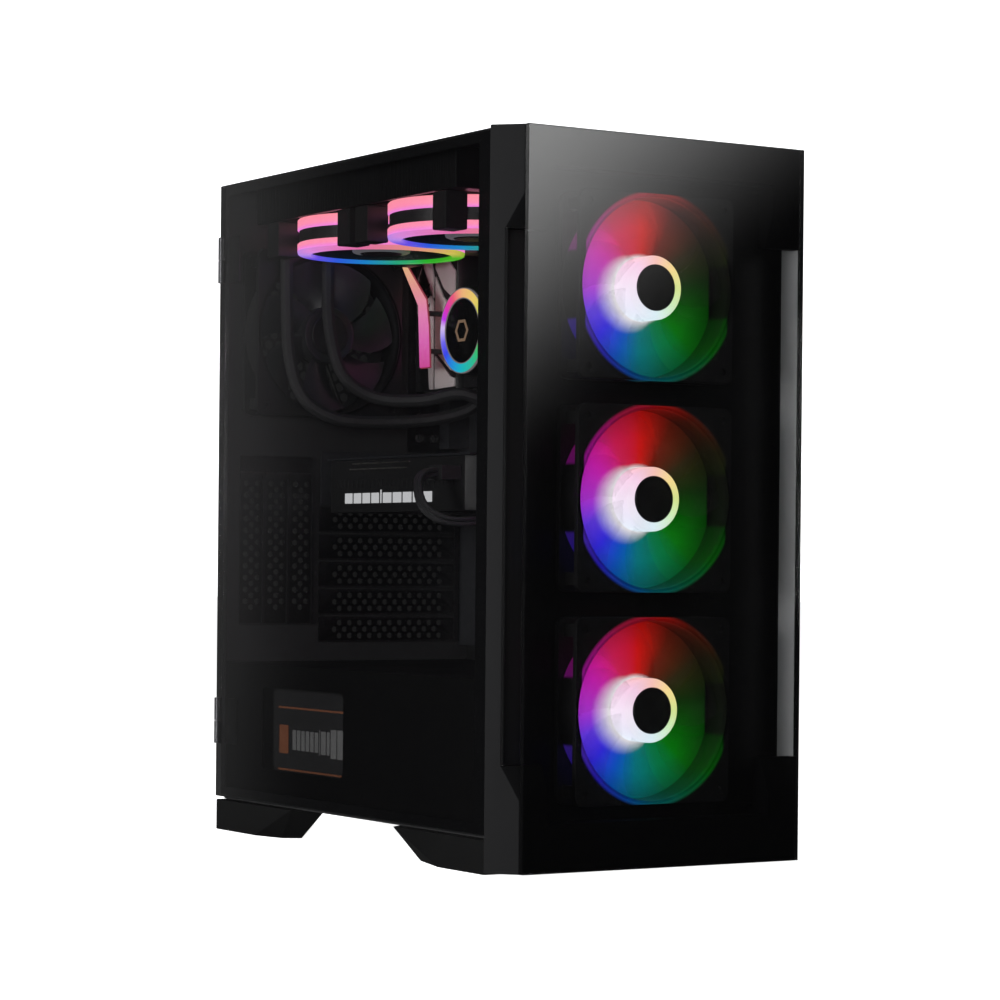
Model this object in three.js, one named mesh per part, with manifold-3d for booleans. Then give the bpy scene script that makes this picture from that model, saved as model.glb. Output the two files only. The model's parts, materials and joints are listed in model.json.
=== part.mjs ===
// Desktop computer tower with a glass side door, a glass front and liquid cooling.
// Millimetres, +Z up. The front faces -Y, the glass door is on -X.
// The origin is on the floor under the middle of the tower.

import * as THREE from 'three';
import { mergeVertices } from 'three/addons/utils/BufferGeometryUtils.js';
import { ConvexGeometry } from 'three/addons/geometries/ConvexGeometry.js';
import Module from 'manifold-3d';

const wasm = await Module();
wasm.setup();

// ---------------------------------------------------------------- driving sizes

const WIDTH = 246;             // outside of the glass door to outside of the right panel
const DEPTH = 396;             // front glass to the back of the hinges
const HEIGHT = 468;            // floor to the top of the bezel

const GAP = 0.3;               // between pieces that touch
const RUNNING_GAP = 0.6;       // between pieces that slide or turn past each other
const SHEET = 1.2;             // chassis steel
const GLASS = 4;               // front glass and door glass
const FLOOR_LIFT = 1;          // the front pieces clear the ground by this

const FOOT_HEIGHT = 22;
const FOOT_WIDTH = 19;
const FOOT_SLANT = 14;         // a foot's inner side runs this much further than its outer side
const FOOT_BOSS = 8;
const REAR_FOOT = { top: 115, ground: 61, facet: 28, inset: 7 };
const FRONT_FOOT = { top: 113, ground: 55, facet: 40, inset: 11 };
const FLOOR_RIM = 3;           // the floor pan's plate sits this far above its rim
const SKIN_INSET = 2;          // door and side panel start and end this far inside the case height

const BEZEL_DEPTH = 16.2;      // bezel, from its front plane to its back edge
const CHAMFER = 15.4;          // how far the bezel's chamfer reaches across the front
const BEZEL_FACE = 3;          // thickness of the bezel's front plate
const BEZEL_OPENING = [170, 412];      // the fans' window, across and up
const CHANNEL_SHARE = 0.54;    // the side intake takes this share of the chamfer
const CHANNEL_FRONT = 378;     // the side intake's height at the front edge
const CHANNEL_REAR = 335;      // and at its inner boundary
const CHANNEL_LIFT = -1.5;     // the side intake's middle, from the fans' window's middle
const TRIM = 1.8;              // grey strips that line the side intakes
const TRIM_REACH = 7.5;        // how far they reach back past the bezel
const PEG_RADIUS = 3;          // pegs that hold the bezel

const DOOR_SPACE = 2.5;        // between the door glass and the chassis
const LEAF = 1.5;              // hinge leaves on the glass
const REAR_REACH = 5.5;        // hinges and thumbscrews stand this far behind the side panels
const REAR_RECESS = 1.5;       // rear wall, ahead of the side panels' rear edges
const KNUCKLE_RADIUS = 2.4;
const HINGE_PIN_RADIUS = 1.1;
const HINGE_SETBACK = 2.8;     // hinge axis, inside the outer face of the glass
const HINGE_HEIGHT = 33;
const HINGE_UPPER_DROP = 39;   // top of the upper hinge, from the top of the case
const HINGE_LOWER_RISE = 62;   // bottom of the lower hinge, from the floor

const PANEL_SPACE = 5;         // right panel's outside to the chassis side
const PANEL_SKIN = 1;
const TAB_REACH = 17;          // the right panel's rear flange
const SCREW_HEAD = [5, 5.2];   // thumbscrew head, radius and length
const SCREW_SHAFT = [2, 6];    // thumbscrew shaft, radius and length past the wall
const SCREW_DROP = 36;         // upper thumbscrew, from the top of the case
const SCREW_RISE = 60;         // lower thumbscrew, from the floor

const FRAME_FLANGE = 10;       // the front frame's side flanges, towards the front
const FRAME_SETBACK = 18;      // the front frame's sheet, behind the bezel's back edge
const FAN = 120;               // frame side of every case fan
const FAN_DEPTH = 25;
const FAN_WALL = 2;            // between a fan's bore and its flat side
const FAN_HUB = 20.8;
const FAN_CORNER = 18;         // corner blocks of the ring-lit fans
const FAN_HOLE_INSET = 7.5;    // a fan's screw holes, in from its sides
const FRONT_FAN_PITCH = 136;
const FRONT_FAN_LIFT = 2.7;    // middle front fan, above the middle of the case
const FRONT_FAN_SEAT = 6;      // a front fan's edge rests this far onto the frame's sheet

const SLOT_PITCH = 20.32;      // expansion slots
const SLOT_COUNT = 7;
const CARD_SLOTS = 2;          // slots that the graphics card takes
const SLOT_SIZE = [112, 15];
const SLOT_COVER = [116, 18.6];
const VERTICAL_SLOTS = 3;
const VERTICAL_SLOT = [13, 104];
const BOARD = [244, 305];      // motherboard, deep and high
const BOARD_SKIN = 1.6;
const STANDOFF = 6.4;
const BOARD_DROP = 27.3;       // top of the motherboard, below the top sheet
const CABLE_SPACE = 28.8;      // behind the motherboard tray
const SLOT_DROP = 170.9;       // first slot, below the top of the motherboard
const REAR_FAN_DROP = 77;      // rear fan's middle, below the top of the motherboard
const REAR_FAN_OUT = 126;      // rear fan's middle, out from the motherboard
const PORTS = [44.45, 158.75]; // the standard port opening
const PORTS_DROP = 2;

const PSU = [150, 160, 86];
const PSU_INSET = 73;          // power supply, in from the chassis side
const PSU_FAN = 60;
const SHROUD_HEADROOM = 7.5;   // shroud top, above the power supply
const SHROUD_WINDOW = [118, 58];
const WINDOW_BACK = 55.5;      // shroud window's rear edge, ahead of the power supply's back
const WINDOW_RISE = 6.7;       // shroud window's middle, above the power supply's middle
const DUCT_REACH = 22;         // the shroud is cut back behind the front fans

const RADIATOR = [120, 277, 27];
const RADIATOR_OUT = 125;      // radiator's middle, out from the motherboard
const RADIATOR_SETBACK = 19.6; // radiator's rear end, ahead of the rear wall
const RADIATOR_FAN_PITCH = 128;
const RADIATOR_FAN_MIDDLE = 2; // fans' middle, ahead of the radiator's middle
const TUBE_RADIUS = 4.8;
const PUMP_RADIUS = 32;
const PUMP_HEIGHT = 58;        // pump head, above the motherboard
const PUMP_BACK = 99.8;        // pump's middle, ahead of the rear wall
const PUMP_DROP = 75;          // pump's middle, below the top of the motherboard

const CARD = [104, 201, 38];   // graphics card's cooler: reach from the slot, length, depth
const CARD_FAN = 43;
const CARD_FAN_PITCH = 94;
const FILTER = 2;              // dust filter frames
const TOP_FILTER = [210, 300];
const TOP_FILTER_INSET = 5;    // top filter, in from the chassis side
const BOTTOM_FILTER = [133, 168];
const IO_PANEL = [140, 24];    // port panel on the top
const BUTTON_RADIUS = 7;
const BAY = [103, 38];         // one drive bay
const CAGE_LENGTH = 150;

// ---------------------------------------------------------------- derived places

const FAN_BORE = FAN / 2 - FAN_WALL;
const FAN_HOLES = FAN - 2 * FAN_HOLE_INSET;
const LEFT = -WIDTH / 2;
const RIGHT = WIDTH / 2;
const FRONT = -DEPTH / 2;
const REAR = DEPTH / 2;
const BEZEL_FRONT = FRONT + GLASS + GAP;
const SEAM = BEZEL_FRONT + BEZEL_DEPTH;
const PANEL_REAR = REAR - REAR_REACH;
const WALL_OUT = PANEL_REAR - REAR_RECESS;
const WALL_IN = WALL_OUT - SHEET;
const CHASSIS_LEFT = LEFT + GLASS + DOOR_SPACE;
const CHASSIS_RIGHT = RIGHT - PANEL_SPACE;
const FRAME_BACK = SEAM + FRAME_SETBACK + SHEET;
const FRAME_FRONT = SEAM + FRAME_SETBACK;
const FLOOR_BOTTOM = FOOT_HEIGHT + FLOOR_RIM;
const FLOOR_TOP = FLOOR_BOTTOM + SHEET;
const ROOF_TOP = HEIGHT - FILTER - GAP;
const ROOF_BOTTOM = ROOF_TOP - SHEET;
const SKIN_BOTTOM = FOOT_HEIGHT + SKIN_INSET;
const SKIN_TOP = HEIGHT - SKIN_INSET;
const TRAY_LEFT = CHASSIS_RIGHT - CABLE_SPACE - SHEET;
const BOARD_RIGHT = TRAY_LEFT - GAP;
const BOARD_FACE = TRAY_LEFT - STANDOFF - BOARD_SKIN;
const BOARD_TOP = ROOF_BOTTOM - BOARD_DROP;
const BOARD_BOTTOM = BOARD_TOP - BOARD[1];
const BOARD_FRONT = WALL_IN - GAP - BOARD[0];
const FIRST_SLOT = BOARD_TOP - SLOT_DROP;
const SLOT_RIGHT = BOARD_FACE - 7;
const SLOT_MIDDLE = SLOT_RIGHT - SLOT_SIZE[0] / 2;
const PSU_RIGHT = CHASSIS_RIGHT - PSU_INSET;
const PSU_LEFT = PSU_RIGHT - PSU[0];
const PSU_BOTTOM = FLOOR_TOP + GAP;
const PSU_TOP = PSU_BOTTOM + PSU[2];
const PSU_BACK = WALL_IN - GAP;
const PSU_MIDDLE = [(PSU_LEFT + PSU_RIGHT) / 2, PSU_BACK - PSU[1] / 2];
const SHROUD_TOP = PSU_TOP + SHROUD_HEADROOM + SHEET;
const REAR_FAN_X = BOARD_FACE - REAR_FAN_OUT;
const REAR_FAN_Z = BOARD_TOP - REAR_FAN_DROP;
const RADIATOR_X = BOARD_FACE - RADIATOR_OUT;
const RADIATOR_BACK = WALL_IN - RADIATOR_SETBACK;
const RADIATOR_Y = RADIATOR_BACK - RADIATOR[1] / 2;
const RADIATOR_TOP = ROOF_BOTTOM - GAP;
const RADIATOR_BOTTOM = RADIATOR_TOP - RADIATOR[2];
const RADIATOR_FAN_Z = RADIATOR_BOTTOM - GAP - FAN_DEPTH / 2;
const PUMP_Y = WALL_IN - PUMP_BACK;
const PUMP_Z = BOARD_TOP - PUMP_DROP;
const FRONT_FAN_Y = FRAME_FRONT - GAP - FAN_DEPTH / 2;
const WINDOW_BOTTOM = (HEIGHT + FLOOR_LIFT - BEZEL_OPENING[1]) / 2 + 3;
const FRONT_FAN_MIDDLE = HEIGHT / 2 + FRONT_FAN_LIFT;
const FRONT_FAN_OPENING = FAN - 2 * FRONT_FAN_SEAT;

// ---------------------------------------------------------------- finishes

const FINISHES = {
  steel: { color: 0x0d0d0e, roughness: 0.55, metalness: 0.6 },
  plastic: { color: 0x0b0b0c, roughness: 0.5, metalness: 0.0 },
  glass: { color: 0x101112, roughness: 0.05, metalness: 0.0 },
  greyTrim: { color: 0x8d9092, roughness: 0.45, metalness: 0.2 },
  blade: { color: 0xb9a9d8, roughness: 0.35, metalness: 0.0 },
  darkBlade: { color: 0x17171a, roughness: 0.4, metalness: 0.0 },
  silver: { color: 0x9b938f, roughness: 0.35, metalness: 0.8 },
  light: { color: 0xff70c8, roughness: 0.4, metalness: 0.0 },
  rubber: { color: 0x090909, roughness: 0.8, metalness: 0.0 },
  board: { color: 0x111214, roughness: 0.5, metalness: 0.1 },
  filter: { color: 0x131314, roughness: 0.9, metalness: 0.0 },
};

// ---------------------------------------------------------------- solids

function solidOf(geometry) {
  const bare = geometry.index ? geometry.toNonIndexed() : geometry.clone();
  bare.deleteAttribute('normal');
  bare.deleteAttribute('uv');
  const welded = mergeVertices(bare, 1e-4);
  return new wasm.Manifold(new wasm.Mesh({
    numProp: 3,
    vertProperties: Float32Array.from(welded.attributes.position.array),
    triVerts: Uint32Array.from(welded.index.array),
  }));
}

function geometryOf(solid) {
  const mesh = solid.getMesh();
  const geometry = new THREE.BufferGeometry();
  geometry.setAttribute('position', new THREE.BufferAttribute(mesh.vertProperties, 3));
  geometry.setIndex(new THREE.BufferAttribute(mesh.triVerts, 1));
  geometry.computeVertexNormals();
  return geometry;
}

// The two ends of a length about its middle.
function about(middle, length) {
  return [middle - length / 2, middle + length / 2];
}

// A range with both of its ends moved out.
function grown([low, high], by = 1) {
  return [low - by, high + by];
}

function slab([x0, x1], [y0, y1], [z0, z1]) {
  const box = new THREE.BoxGeometry(x1 - x0, y1 - y0, z1 - z0);
  box.translate((x0 + x1) / 2, (y0 + y1) / 2, (z0 + z1) / 2);
  return solidOf(box);
}

// A cylinder along an axis ('x', 'y' or 'z'), its middle at the two other coordinates.
function rod(axis, [u, v], radius, [low, high], sides = 24) {
  const cylinder = new THREE.CylinderGeometry(radius, radius, high - low, sides);
  const middle = (low + high) / 2;
  if (axis === 'x') cylinder.rotateZ(-Math.PI / 2).translate(middle, u, v);
  if (axis === 'y') cylinder.translate(u, middle, v);
  if (axis === 'z') cylinder.rotateX(Math.PI / 2).translate(u, v, middle);
  return solidOf(cylinder);
}

// An outline drawn in the plane across an axis and extruded along it.
function prism(axis, outline, [low, high]) {
  const shape = new THREE.Shape(outline.map(([u, v]) => new THREE.Vector2(u, v)));
  const body = new THREE.ExtrudeGeometry(shape, { depth: high - low, bevelEnabled: false });
  const basis = new THREE.Matrix4();
  if (axis === 'x') basis.set(0, 0, 1, low, 1, 0, 0, 0, 0, 1, 0, 0, 0, 0, 0, 1);
  if (axis === 'y') basis.set(1, 0, 0, 0, 0, 0, -1, high, 0, 1, 0, 0, 0, 0, 0, 1);
  if (axis === 'z') basis.makeTranslation(0, 0, low);
  return solidOf(body.applyMatrix4(basis));
}

function roundedOutline([u, v], [width, height], radius, steps = 3) {
  const points = [];
  const corners = [[1, 1], [-1, 1], [-1, -1], [1, -1]];
  corners.forEach(([a, b], quarter) => {
    for (let step = 0; step <= steps; step += 1) {
      const angle = (quarter + step / steps) * Math.PI / 2;
      points.push([
        u + a * (width / 2 - radius) + radius * Math.cos(angle),
        v + b * (height / 2 - radius) + radius * Math.sin(angle),
      ]);
    }
  });
  return points;
}

function join(first, ...others) {
  return others.flat().reduce((whole, part) => whole.add(part), first);
}

function cut(first, ...others) {
  return others.flat().reduce((whole, part) => whole.subtract(part), first);
}

function ordered(a, b) {
  return a < b ? [a, b] : [b, a];
}

function range(count) {
  return Array.from({ length: count }, (_, index) => index);
}

const tower = new THREE.Group();

function addPiece(name, solid, finish, parent = tower) {
  const mesh = new THREE.Mesh(geometryOf(solid), new THREE.MeshStandardMaterial(FINISHES[finish]));
  mesh.name = name;
  parent.add(mesh);
}

// ---------------------------------------------------------------- chassis

function addFloor() {
  const across = [CHASSIS_LEFT, CHASSIS_RIGHT];
  const along = [SEAM + GAP, WALL_IN - GAP];
  const plate = slab(across, along, [FLOOR_BOTTOM, FLOOR_TOP]);
  const rim = [FOOT_HEIGHT, FLOOR_BOTTOM + SHEET / 2];
  const rims = [
    slab([across[0], across[0] + SHEET], along, rim),
    slab([across[1] - SHEET, across[1]], along, rim),
    slab(across, [along[0], along[0] + SHEET], rim),
  ];
  const [middle, back] = [PSU_MIDDLE[0], WALL_IN - 24];
  const vent = slab([middle - 55, middle + 55], [back - 120, back], [FLOOR_BOTTOM - 1, FLOOR_TOP + 1]);
  const ribs = range(3).map((index) => {
    const x = middle - 30 + 30 * index;
    return slab([x - 2, x + 2], [back - 121, back + 1], [FLOOR_BOTTOM, FLOOR_TOP]);
  });
  const rail = (side) => {
    const inner = middle + side * (BOTTOM_FILTER[0] / 2 + RUNNING_GAP);
    const outer = inner + side * SHEET;
    const lip = inner - side * 3;
    const y = [WALL_IN - 4 - BOTTOM_FILTER[1], WALL_IN - GAP];
    const hang = FLOOR_BOTTOM - FILTER - 2 * RUNNING_GAP - SHEET;
    return join(
      slab(ordered(inner, outer), y, [hang, FLOOR_BOTTOM + SHEET / 2]),
      slab(ordered(lip, outer), y, [hang, hang + SHEET]),
    );
  };
  addPiece('chassis_floor', join(cut(plate, vent), rims, ribs, rail(-1), rail(1)), 'steel');
}

function grilleBars([x, z], radius, along) {
  const ring = cut(rod('y', [x, z], radius * 0.6, along), rod('y', [x, z], radius * 0.6 - 3, grown(along)));
  const hub = rod('y', [x, z], radius * 0.3, along);
  const across = slab([x - radius - 1, x + radius + 1], along, [z - 1.5, z + 1.5]);
  const upright = slab([x - 1.5, x + 1.5], along, [z - radius - 1, z + radius + 1]);
  return join(ring, hub, across, upright);
}

function addRearWall() {
  const through = [WALL_IN - 1, WALL_OUT + 1];
  const along = [WALL_IN, WALL_OUT];
  const wall = slab([CHASSIS_LEFT, CHASSIS_RIGHT], along, [FOOT_HEIGHT, ROOF_TOP]);
  const fanHole = rod('y', [REAR_FAN_X, REAR_FAN_Z], FAN_BORE, through, 32);
  const slots = range(SLOT_COUNT).map((index) => {
    const z = FIRST_SLOT - index * SLOT_PITCH;
    const half = SLOT_SIZE[1] / 2;
    return slab(about(SLOT_MIDDLE, SLOT_SIZE[0]), through, [z - half, z + half]);
  });
  const uprights = range(VERTICAL_SLOTS).map((index) => {
    const x = VERTICAL_RIGHT - index * SLOT_PITCH;
    return slab([x - VERTICAL_SLOT[0] / 2, x + VERTICAL_SLOT[0] / 2], through,
      [VERTICAL_TOP - VERTICAL_SLOT[1], VERTICAL_TOP]);
  });
  const ports = slab([PORTS_RIGHT - PORTS[0], PORTS_RIGHT], through, [PORTS_TOP - PORTS[1], PORTS_TOP]);
  const supply = slab([PSU_LEFT + 4, PSU_RIGHT - 4], through, [PSU_BOTTOM + 4, PSU_TOP - 4]);
  const filterSlot = slab(about(PSU_MIDDLE[0], BOTTOM_FILTER[0] + 4 * SHEET),
    through, [FOOT_HEIGHT - 1, FLOOR_BOTTOM]);
  const screws = SCREW_PLACES.map((z) => rod('y', [SCREW_X, z], SCREW_SHAFT[0] + RUNNING_GAP, through, 12));
  const pierced = cut(wall, fanHole, slots, uprights, ports, supply, filterSlot, screws);
  const grille = grilleBars([REAR_FAN_X, REAR_FAN_Z], FAN_BORE, along);
  addPiece('chassis_rear_wall', join(pierced, grille), 'steel');
}

function addRoof() {
  const along = [SEAM + GAP, WALL_IN - GAP];
  const sheet = slab([CHASSIS_LEFT, CHASSIS_RIGHT], along, [ROOF_BOTTOM, ROOF_TOP]);
  const through = grown([ROOF_BOTTOM, ROOF_TOP]);
  const vents = RADIATOR_FANS.map((y) => rod('z', [RADIATOR_X, y], FAN_BORE, through, 32));
  const bars = RADIATOR_FANS.map((y) => join(
    slab([RADIATOR_X - FAN_BORE - 1, RADIATOR_X + FAN_BORE + 1], [y - 2, y + 2], [ROOF_BOTTOM, ROOF_TOP]),
    slab([RADIATOR_X - 2, RADIATOR_X + 2], [y - FAN_BORE - 1, y + FAN_BORE + 1], [ROOF_BOTTOM, ROOF_TOP]),
  ));
  const panelHole = slab(grown(about(0, IO_PANEL[0]), GAP), grown(IO_PANEL_Y, GAP),
    [ROOF_BOTTOM - 1, ROOF_TOP + 1]);
  addPiece('chassis_top', join(cut(sheet, vents, panelHole), bars), 'steel');
}

function addFrontFrame() {
  const [x0, x1] = [CHASSIS_LEFT, CHASSIS_RIGHT];
  const lip = FRAME_FRONT - FRAME_FLANGE;
  const outline = [
    [x0, lip], [x0 + SHEET, lip], [x0 + SHEET, FRAME_FRONT], [x1 - SHEET, FRAME_FRONT],
    [x1 - SHEET, lip], [x1, lip], [x1, FRAME_BACK], [x0, FRAME_BACK],
  ];
  const channel = prism('z', outline, [FLOOR_TOP + GAP, ROOF_BOTTOM - GAP]);
  const through = [FRAME_FRONT - 1, FRAME_BACK + 1];
  const half = FRONT_FAN_OPENING / 2;
  const holes = FRONT_FANS.map((height) => slab([-half, half], through, [height - half, height + half]));
  const pegHoles = PEG_PLACES.map((place) => rod('y', place, PEG_RADIUS + RUNNING_GAP, through, 12));
  addPiece('chassis_front_frame', cut(channel, holes, pegHoles), 'steel');
}

function addTray() {
  const x = [TRAY_LEFT, TRAY_LEFT + SHEET];
  const through = [TRAY_LEFT - 1, TRAY_LEFT + SHEET + 1];
  const sheet = slab(x, [FRAME_BACK + GAP, WALL_IN - GAP], [FLOOR_TOP + GAP, ROOF_BOTTOM - GAP]);
  const cableSlots = [BOARD_TOP - 70, BOARD_BOTTOM + 95].map((z) => prism(
    'x', roundedOutline([BOARD_FRONT - 25, z], [26, 90], 10), through,
  ));
  const upperSlot = prism('x', roundedOutline([WALL_IN - 70, BOARD_TOP + 13], [60, 14], 6), through);
  const coolerWindow = prism('x', roundedOutline([PUMP_Y - 4, PUMP_Z], [112, 104], 8), through);
  const lower = prism('x', roundedOutline([FRAME_BACK + 205, SHROUD_TOP - 55], [150, 62], 8), through);
  const driveHole = slab(through, grown(CAGE_Y, -SHEET), grown(CAGE_Z, -SHEET));
  addPiece('motherboard_tray', cut(sheet, cableSlots, upperSlot, coolerWindow, lower, driveHole), 'steel');
}

function addShroud() {
  const y = [FRAME_BACK + GAP, WALL_IN - GAP];
  const wallLeft = CHASSIS_LEFT + GAP;
  const top = slab([wallLeft, TRAY_LEFT - GAP], y, [SHROUD_TOP - SHEET, SHROUD_TOP]);
  const side = slab([wallLeft, wallLeft + SHEET], y, [FLOOR_TOP + GAP, SHROUD_TOP]);
  const windowMiddle = [
    PSU_BACK - WINDOW_BACK - SHROUD_WINDOW[0] / 2,
    (PSU_BOTTOM + PSU_TOP) / 2 + WINDOW_RISE,
  ];
  const windowOutline = roundedOutline(windowMiddle, SHROUD_WINDOW, 5);
  const window = prism('x', windowOutline, grown([wallLeft, wallLeft + SHEET]));
  const ductHalf = FRONT_FAN_OPENING / 2 + 2;
  const lid = grown([SHROUD_TOP - SHEET, SHROUD_TOP]);
  const duct = slab([-ductHalf, ductHalf], [y[0] - 1, y[0] + DUCT_REACH], lid);
  const cableHole = slab([TRAY_LEFT - 34, TRAY_LEFT - 12], [BOARD_FRONT - 4, BOARD_FRONT + 90],
    [SHROUD_TOP - SHEET - 1, SHROUD_TOP + 1]);
  addPiece('psu_shroud', cut(join(top, side), window, duct, cableHole), 'steel');
}

// A wedge foot: its top outline is longer than the outline that stands on the ground.
// It starts at one end of the case and runs towards the middle, as direction says.
function addFoot(name, side, start, direction, { top, ground, facet, inset }) {
  const outer = side < 0 ? LEFT : RIGHT;
  const inner = outer - side * FOOT_WIDTH;
  const topZ = FOOT_HEIGHT - GAP;
  const at = (length) => start + direction * length;
  const outline = [
    [outer, start, topZ], [outer, at(top), topZ], [inner, at(top + FOOT_SLANT), topZ], [inner, start, topZ],
    [outer, start, 0], [outer, at(ground), 0], [outer - side * inset, at(ground + facet), 0],
    [inner, at(ground + facet + FOOT_SLANT / 2), 0], [inner, start, 0],
  ];
  const wedge = solidOf(new ConvexGeometry(outline.map((point) => new THREE.Vector3(...point))));
  const bossOuter = (side < 0 ? CHASSIS_LEFT : CHASSIS_RIGHT) - side * (SHEET + GAP);
  const boss = slab(ordered(bossOuter, bossOuter - side * FOOT_BOSS), ordered(at(14), at(top - 14)),
    [topZ - 2, FLOOR_BOTTOM - GAP]);
  addPiece(name, join(wedge, boss), 'plastic');
}

const PORTS_RIGHT = BOARD_FACE - 1.5;
const PORTS_TOP = BOARD_TOP - PORTS_DROP;
const VERTICAL_RIGHT = SLOT_MIDDLE - SLOT_SIZE[0] / 2 - 18;
const VERTICAL_TOP = FIRST_SLOT - 11;
const RADIATOR_FANS = [1, -1].map(
  (side) => RADIATOR_Y - RADIATOR_FAN_MIDDLE + side * RADIATOR_FAN_PITCH / 2,
);
const FRONT_FANS = [1, 0, -1].map((step) => FRONT_FAN_MIDDLE + step * FRONT_FAN_PITCH);
const IO_PANEL_Y = [FRAME_BACK + 3, FRAME_BACK + 3 + IO_PANEL[1]];
const CAGE_Y = [FRAME_BACK + 8, FRAME_BACK + 8 + BAY[0] + 2 * SHEET];
const CAGE_Z = [FLOOR_TOP + GAP, FLOOR_TOP + GAP + 2 * BAY[1] + 3 * SHEET];
const SCREW_X = CHASSIS_RIGHT - 6;
const SCREW_PLACES = [HEIGHT - SCREW_DROP, SCREW_RISE];
const PEG_X = BEZEL_OPENING[0] / 2 + 12;
const PEG_PLACES = [HEIGHT - 22, FLOOR_TOP + 7].flatMap((z) => [[-PEG_X, z], [PEG_X, z]]);

addFloor();
addRearWall();
addRoof();
addFrontFrame();
addTray();
addShroud();
for (const [side, word] of [[-1, 'left'], [1, 'right']]) {
  addFoot(`foot_rear_${word}`, side, WALL_OUT, -1, REAR_FOOT);
  addFoot(`foot_front_${word}`, side, SEAM + GAP, 1, FRONT_FOOT);
}

// ---------------------------------------------------------------- slot covers

function addSlotCovers() {
  const y = [WALL_IN - GAP - SHEET, WALL_IN - GAP];
  const covers = range(SLOT_COUNT - CARD_SLOTS).map((index) => {
    const z = FIRST_SLOT - (index + CARD_SLOTS) * SLOT_PITCH;
    return slab([SLOT_MIDDLE - SLOT_COVER[0] / 2, SLOT_RIGHT + 6], y, about(z, SLOT_COVER[1]));
  });
  const low = FIRST_SLOT - (SLOT_COUNT - 1) * SLOT_PITCH - SLOT_COVER[1] / 2;
  const high = FIRST_SLOT - CARD_SLOTS * SLOT_PITCH + SLOT_COVER[1] / 2;
  const strip = slab([SLOT_RIGHT + 2, SLOT_RIGHT + 6], y, [low, high]);
  addPiece('slot_covers', join(strip, covers), 'steel');
}

function addVerticalCovers() {
  const y = [WALL_IN - GAP - SHEET, WALL_IN - GAP];
  const width = SLOT_PITCH - 2;
  const covers = range(VERTICAL_SLOTS).map((index) => {
    const x = VERTICAL_RIGHT - index * SLOT_PITCH;
    return slab([x - width / 2, x + width / 2], y, [VERTICAL_TOP - VERTICAL_SLOT[1] - 3, VERTICAL_TOP + 6]);
  });
  const stripLeft = VERTICAL_RIGHT - (VERTICAL_SLOTS - 1) * SLOT_PITCH - width / 2;
  const strip = slab([stripLeft, VERTICAL_RIGHT + width / 2],
    y, [VERTICAL_TOP + 4, VERTICAL_TOP + 16]);
  addPiece('vertical_slot_covers', join(strip, covers), 'steel');
}

addSlotCovers();
addVerticalCovers();

// ---------------------------------------------------------------- glass door

const DOOR_INNER = LEFT + GLASS;
const HINGE_X = LEFT + HINGE_SETBACK;
const HINGE_Y = REAR - KNUCKLE_RADIUS;
const LEAF_X = [DOOR_INNER + GAP, DOOR_INNER + GAP + LEAF];
const HINGE_BASES = { upper: HEIGHT - HINGE_UPPER_DROP - HINGE_HEIGHT, lower: HINGE_LOWER_RISE };

function addDoorHinge(word, base) {
  const split = base + HINGE_HEIGHT / 2;
  const top = base + HINGE_HEIGHT;
  const upperHalf = [split + GAP / 2, top];
  const lowerHalf = [base, split - GAP / 2];
  const armBack = HINGE_Y + HINGE_PIN_RADIUS;
  const leaf = join(
    slab(LEAF_X, [PANEL_REAR - 22, WALL_OUT - 1], [base, top]),
    slab(LEAF_X, [WALL_OUT - 2, armBack], upperHalf),
    slab([HINGE_X, LEAF_X[1]], [PANEL_REAR + GAP, armBack], upperHalf),
    rod('z', [HINGE_X, HINGE_Y], KNUCKLE_RADIUS, upperHalf, 16),
  );
  const socket = rod('z', [HINGE_X, HINGE_Y], HINGE_PIN_RADIUS + GAP, [split - 1, top - 2], 16);
  addPiece(`door_hinge_leaf_${word}`, cut(leaf, socket), 'steel');
  const bracket = join(
    slab([LEAF_X[0] + GAP, CHASSIS_LEFT + 18], [WALL_OUT + GAP, WALL_OUT + GAP + LEAF], lowerHalf),
    slab([HINGE_X, CHASSIS_LEFT + 18], [WALL_OUT + 2 * GAP + LEAF - 0.5, HINGE_Y], lowerHalf),
    rod('z', [HINGE_X, HINGE_Y], KNUCKLE_RADIUS, lowerHalf, 16),
    rod('z', [HINGE_X, HINGE_Y], HINGE_PIN_RADIUS, [split - 2, top - 2 - GAP], 16),
  );
  addPiece(`chassis_hinge_${word}`, bracket, 'steel');
}

const doorPane = slab([LEFT, DOOR_INNER], [SEAM + GAP, PANEL_REAR], [SKIN_BOTTOM, SKIN_TOP]);
addPiece('glass_door', doorPane, 'glass');
for (const [word, base] of Object.entries(HINGE_BASES)) addDoorHinge(word, base);

// ---------------------------------------------------------------- right side panel

function addRightPanel() {
  const y = [SEAM + GAP, PANEL_REAR];
  const z = [SKIN_BOTTOM, SKIN_TOP];
  const flange = CHASSIS_RIGHT + GAP;
  const shell = cut(
    slab([flange, RIGHT], y, z),
    slab([flange - 1, RIGHT - PANEL_SKIN], [y[0] + SHEET, y[1] - SHEET], [z[0] + SHEET, z[1] - SHEET]),
  );
  const tab = slab([CHASSIS_RIGHT - TAB_REACH + 5, RIGHT - PANEL_SKIN], [WALL_OUT + GAP, PANEL_REAR],
    [z[0] + 14, z[1] - 14]);
  const holes = SCREW_PLACES.map((height) => rod('y', [SCREW_X, height], SCREW_SHAFT[0] + GAP,
    [WALL_OUT - 1, PANEL_REAR + 1], 12));
  addPiece('right_side_panel', cut(join(shell, tab), holes), 'steel');
}

function addThumbscrew(name, height) {
  const head = rod('y', [SCREW_X, height], SCREW_HEAD[0], [REAR - SCREW_HEAD[1], REAR], 16);
  const shaft = rod('y', [SCREW_X, height], SCREW_SHAFT[0], [WALL_IN - SCREW_SHAFT[1], REAR - 1], 12);
  addPiece(name, join(head, shaft), 'steel');
}

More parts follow.
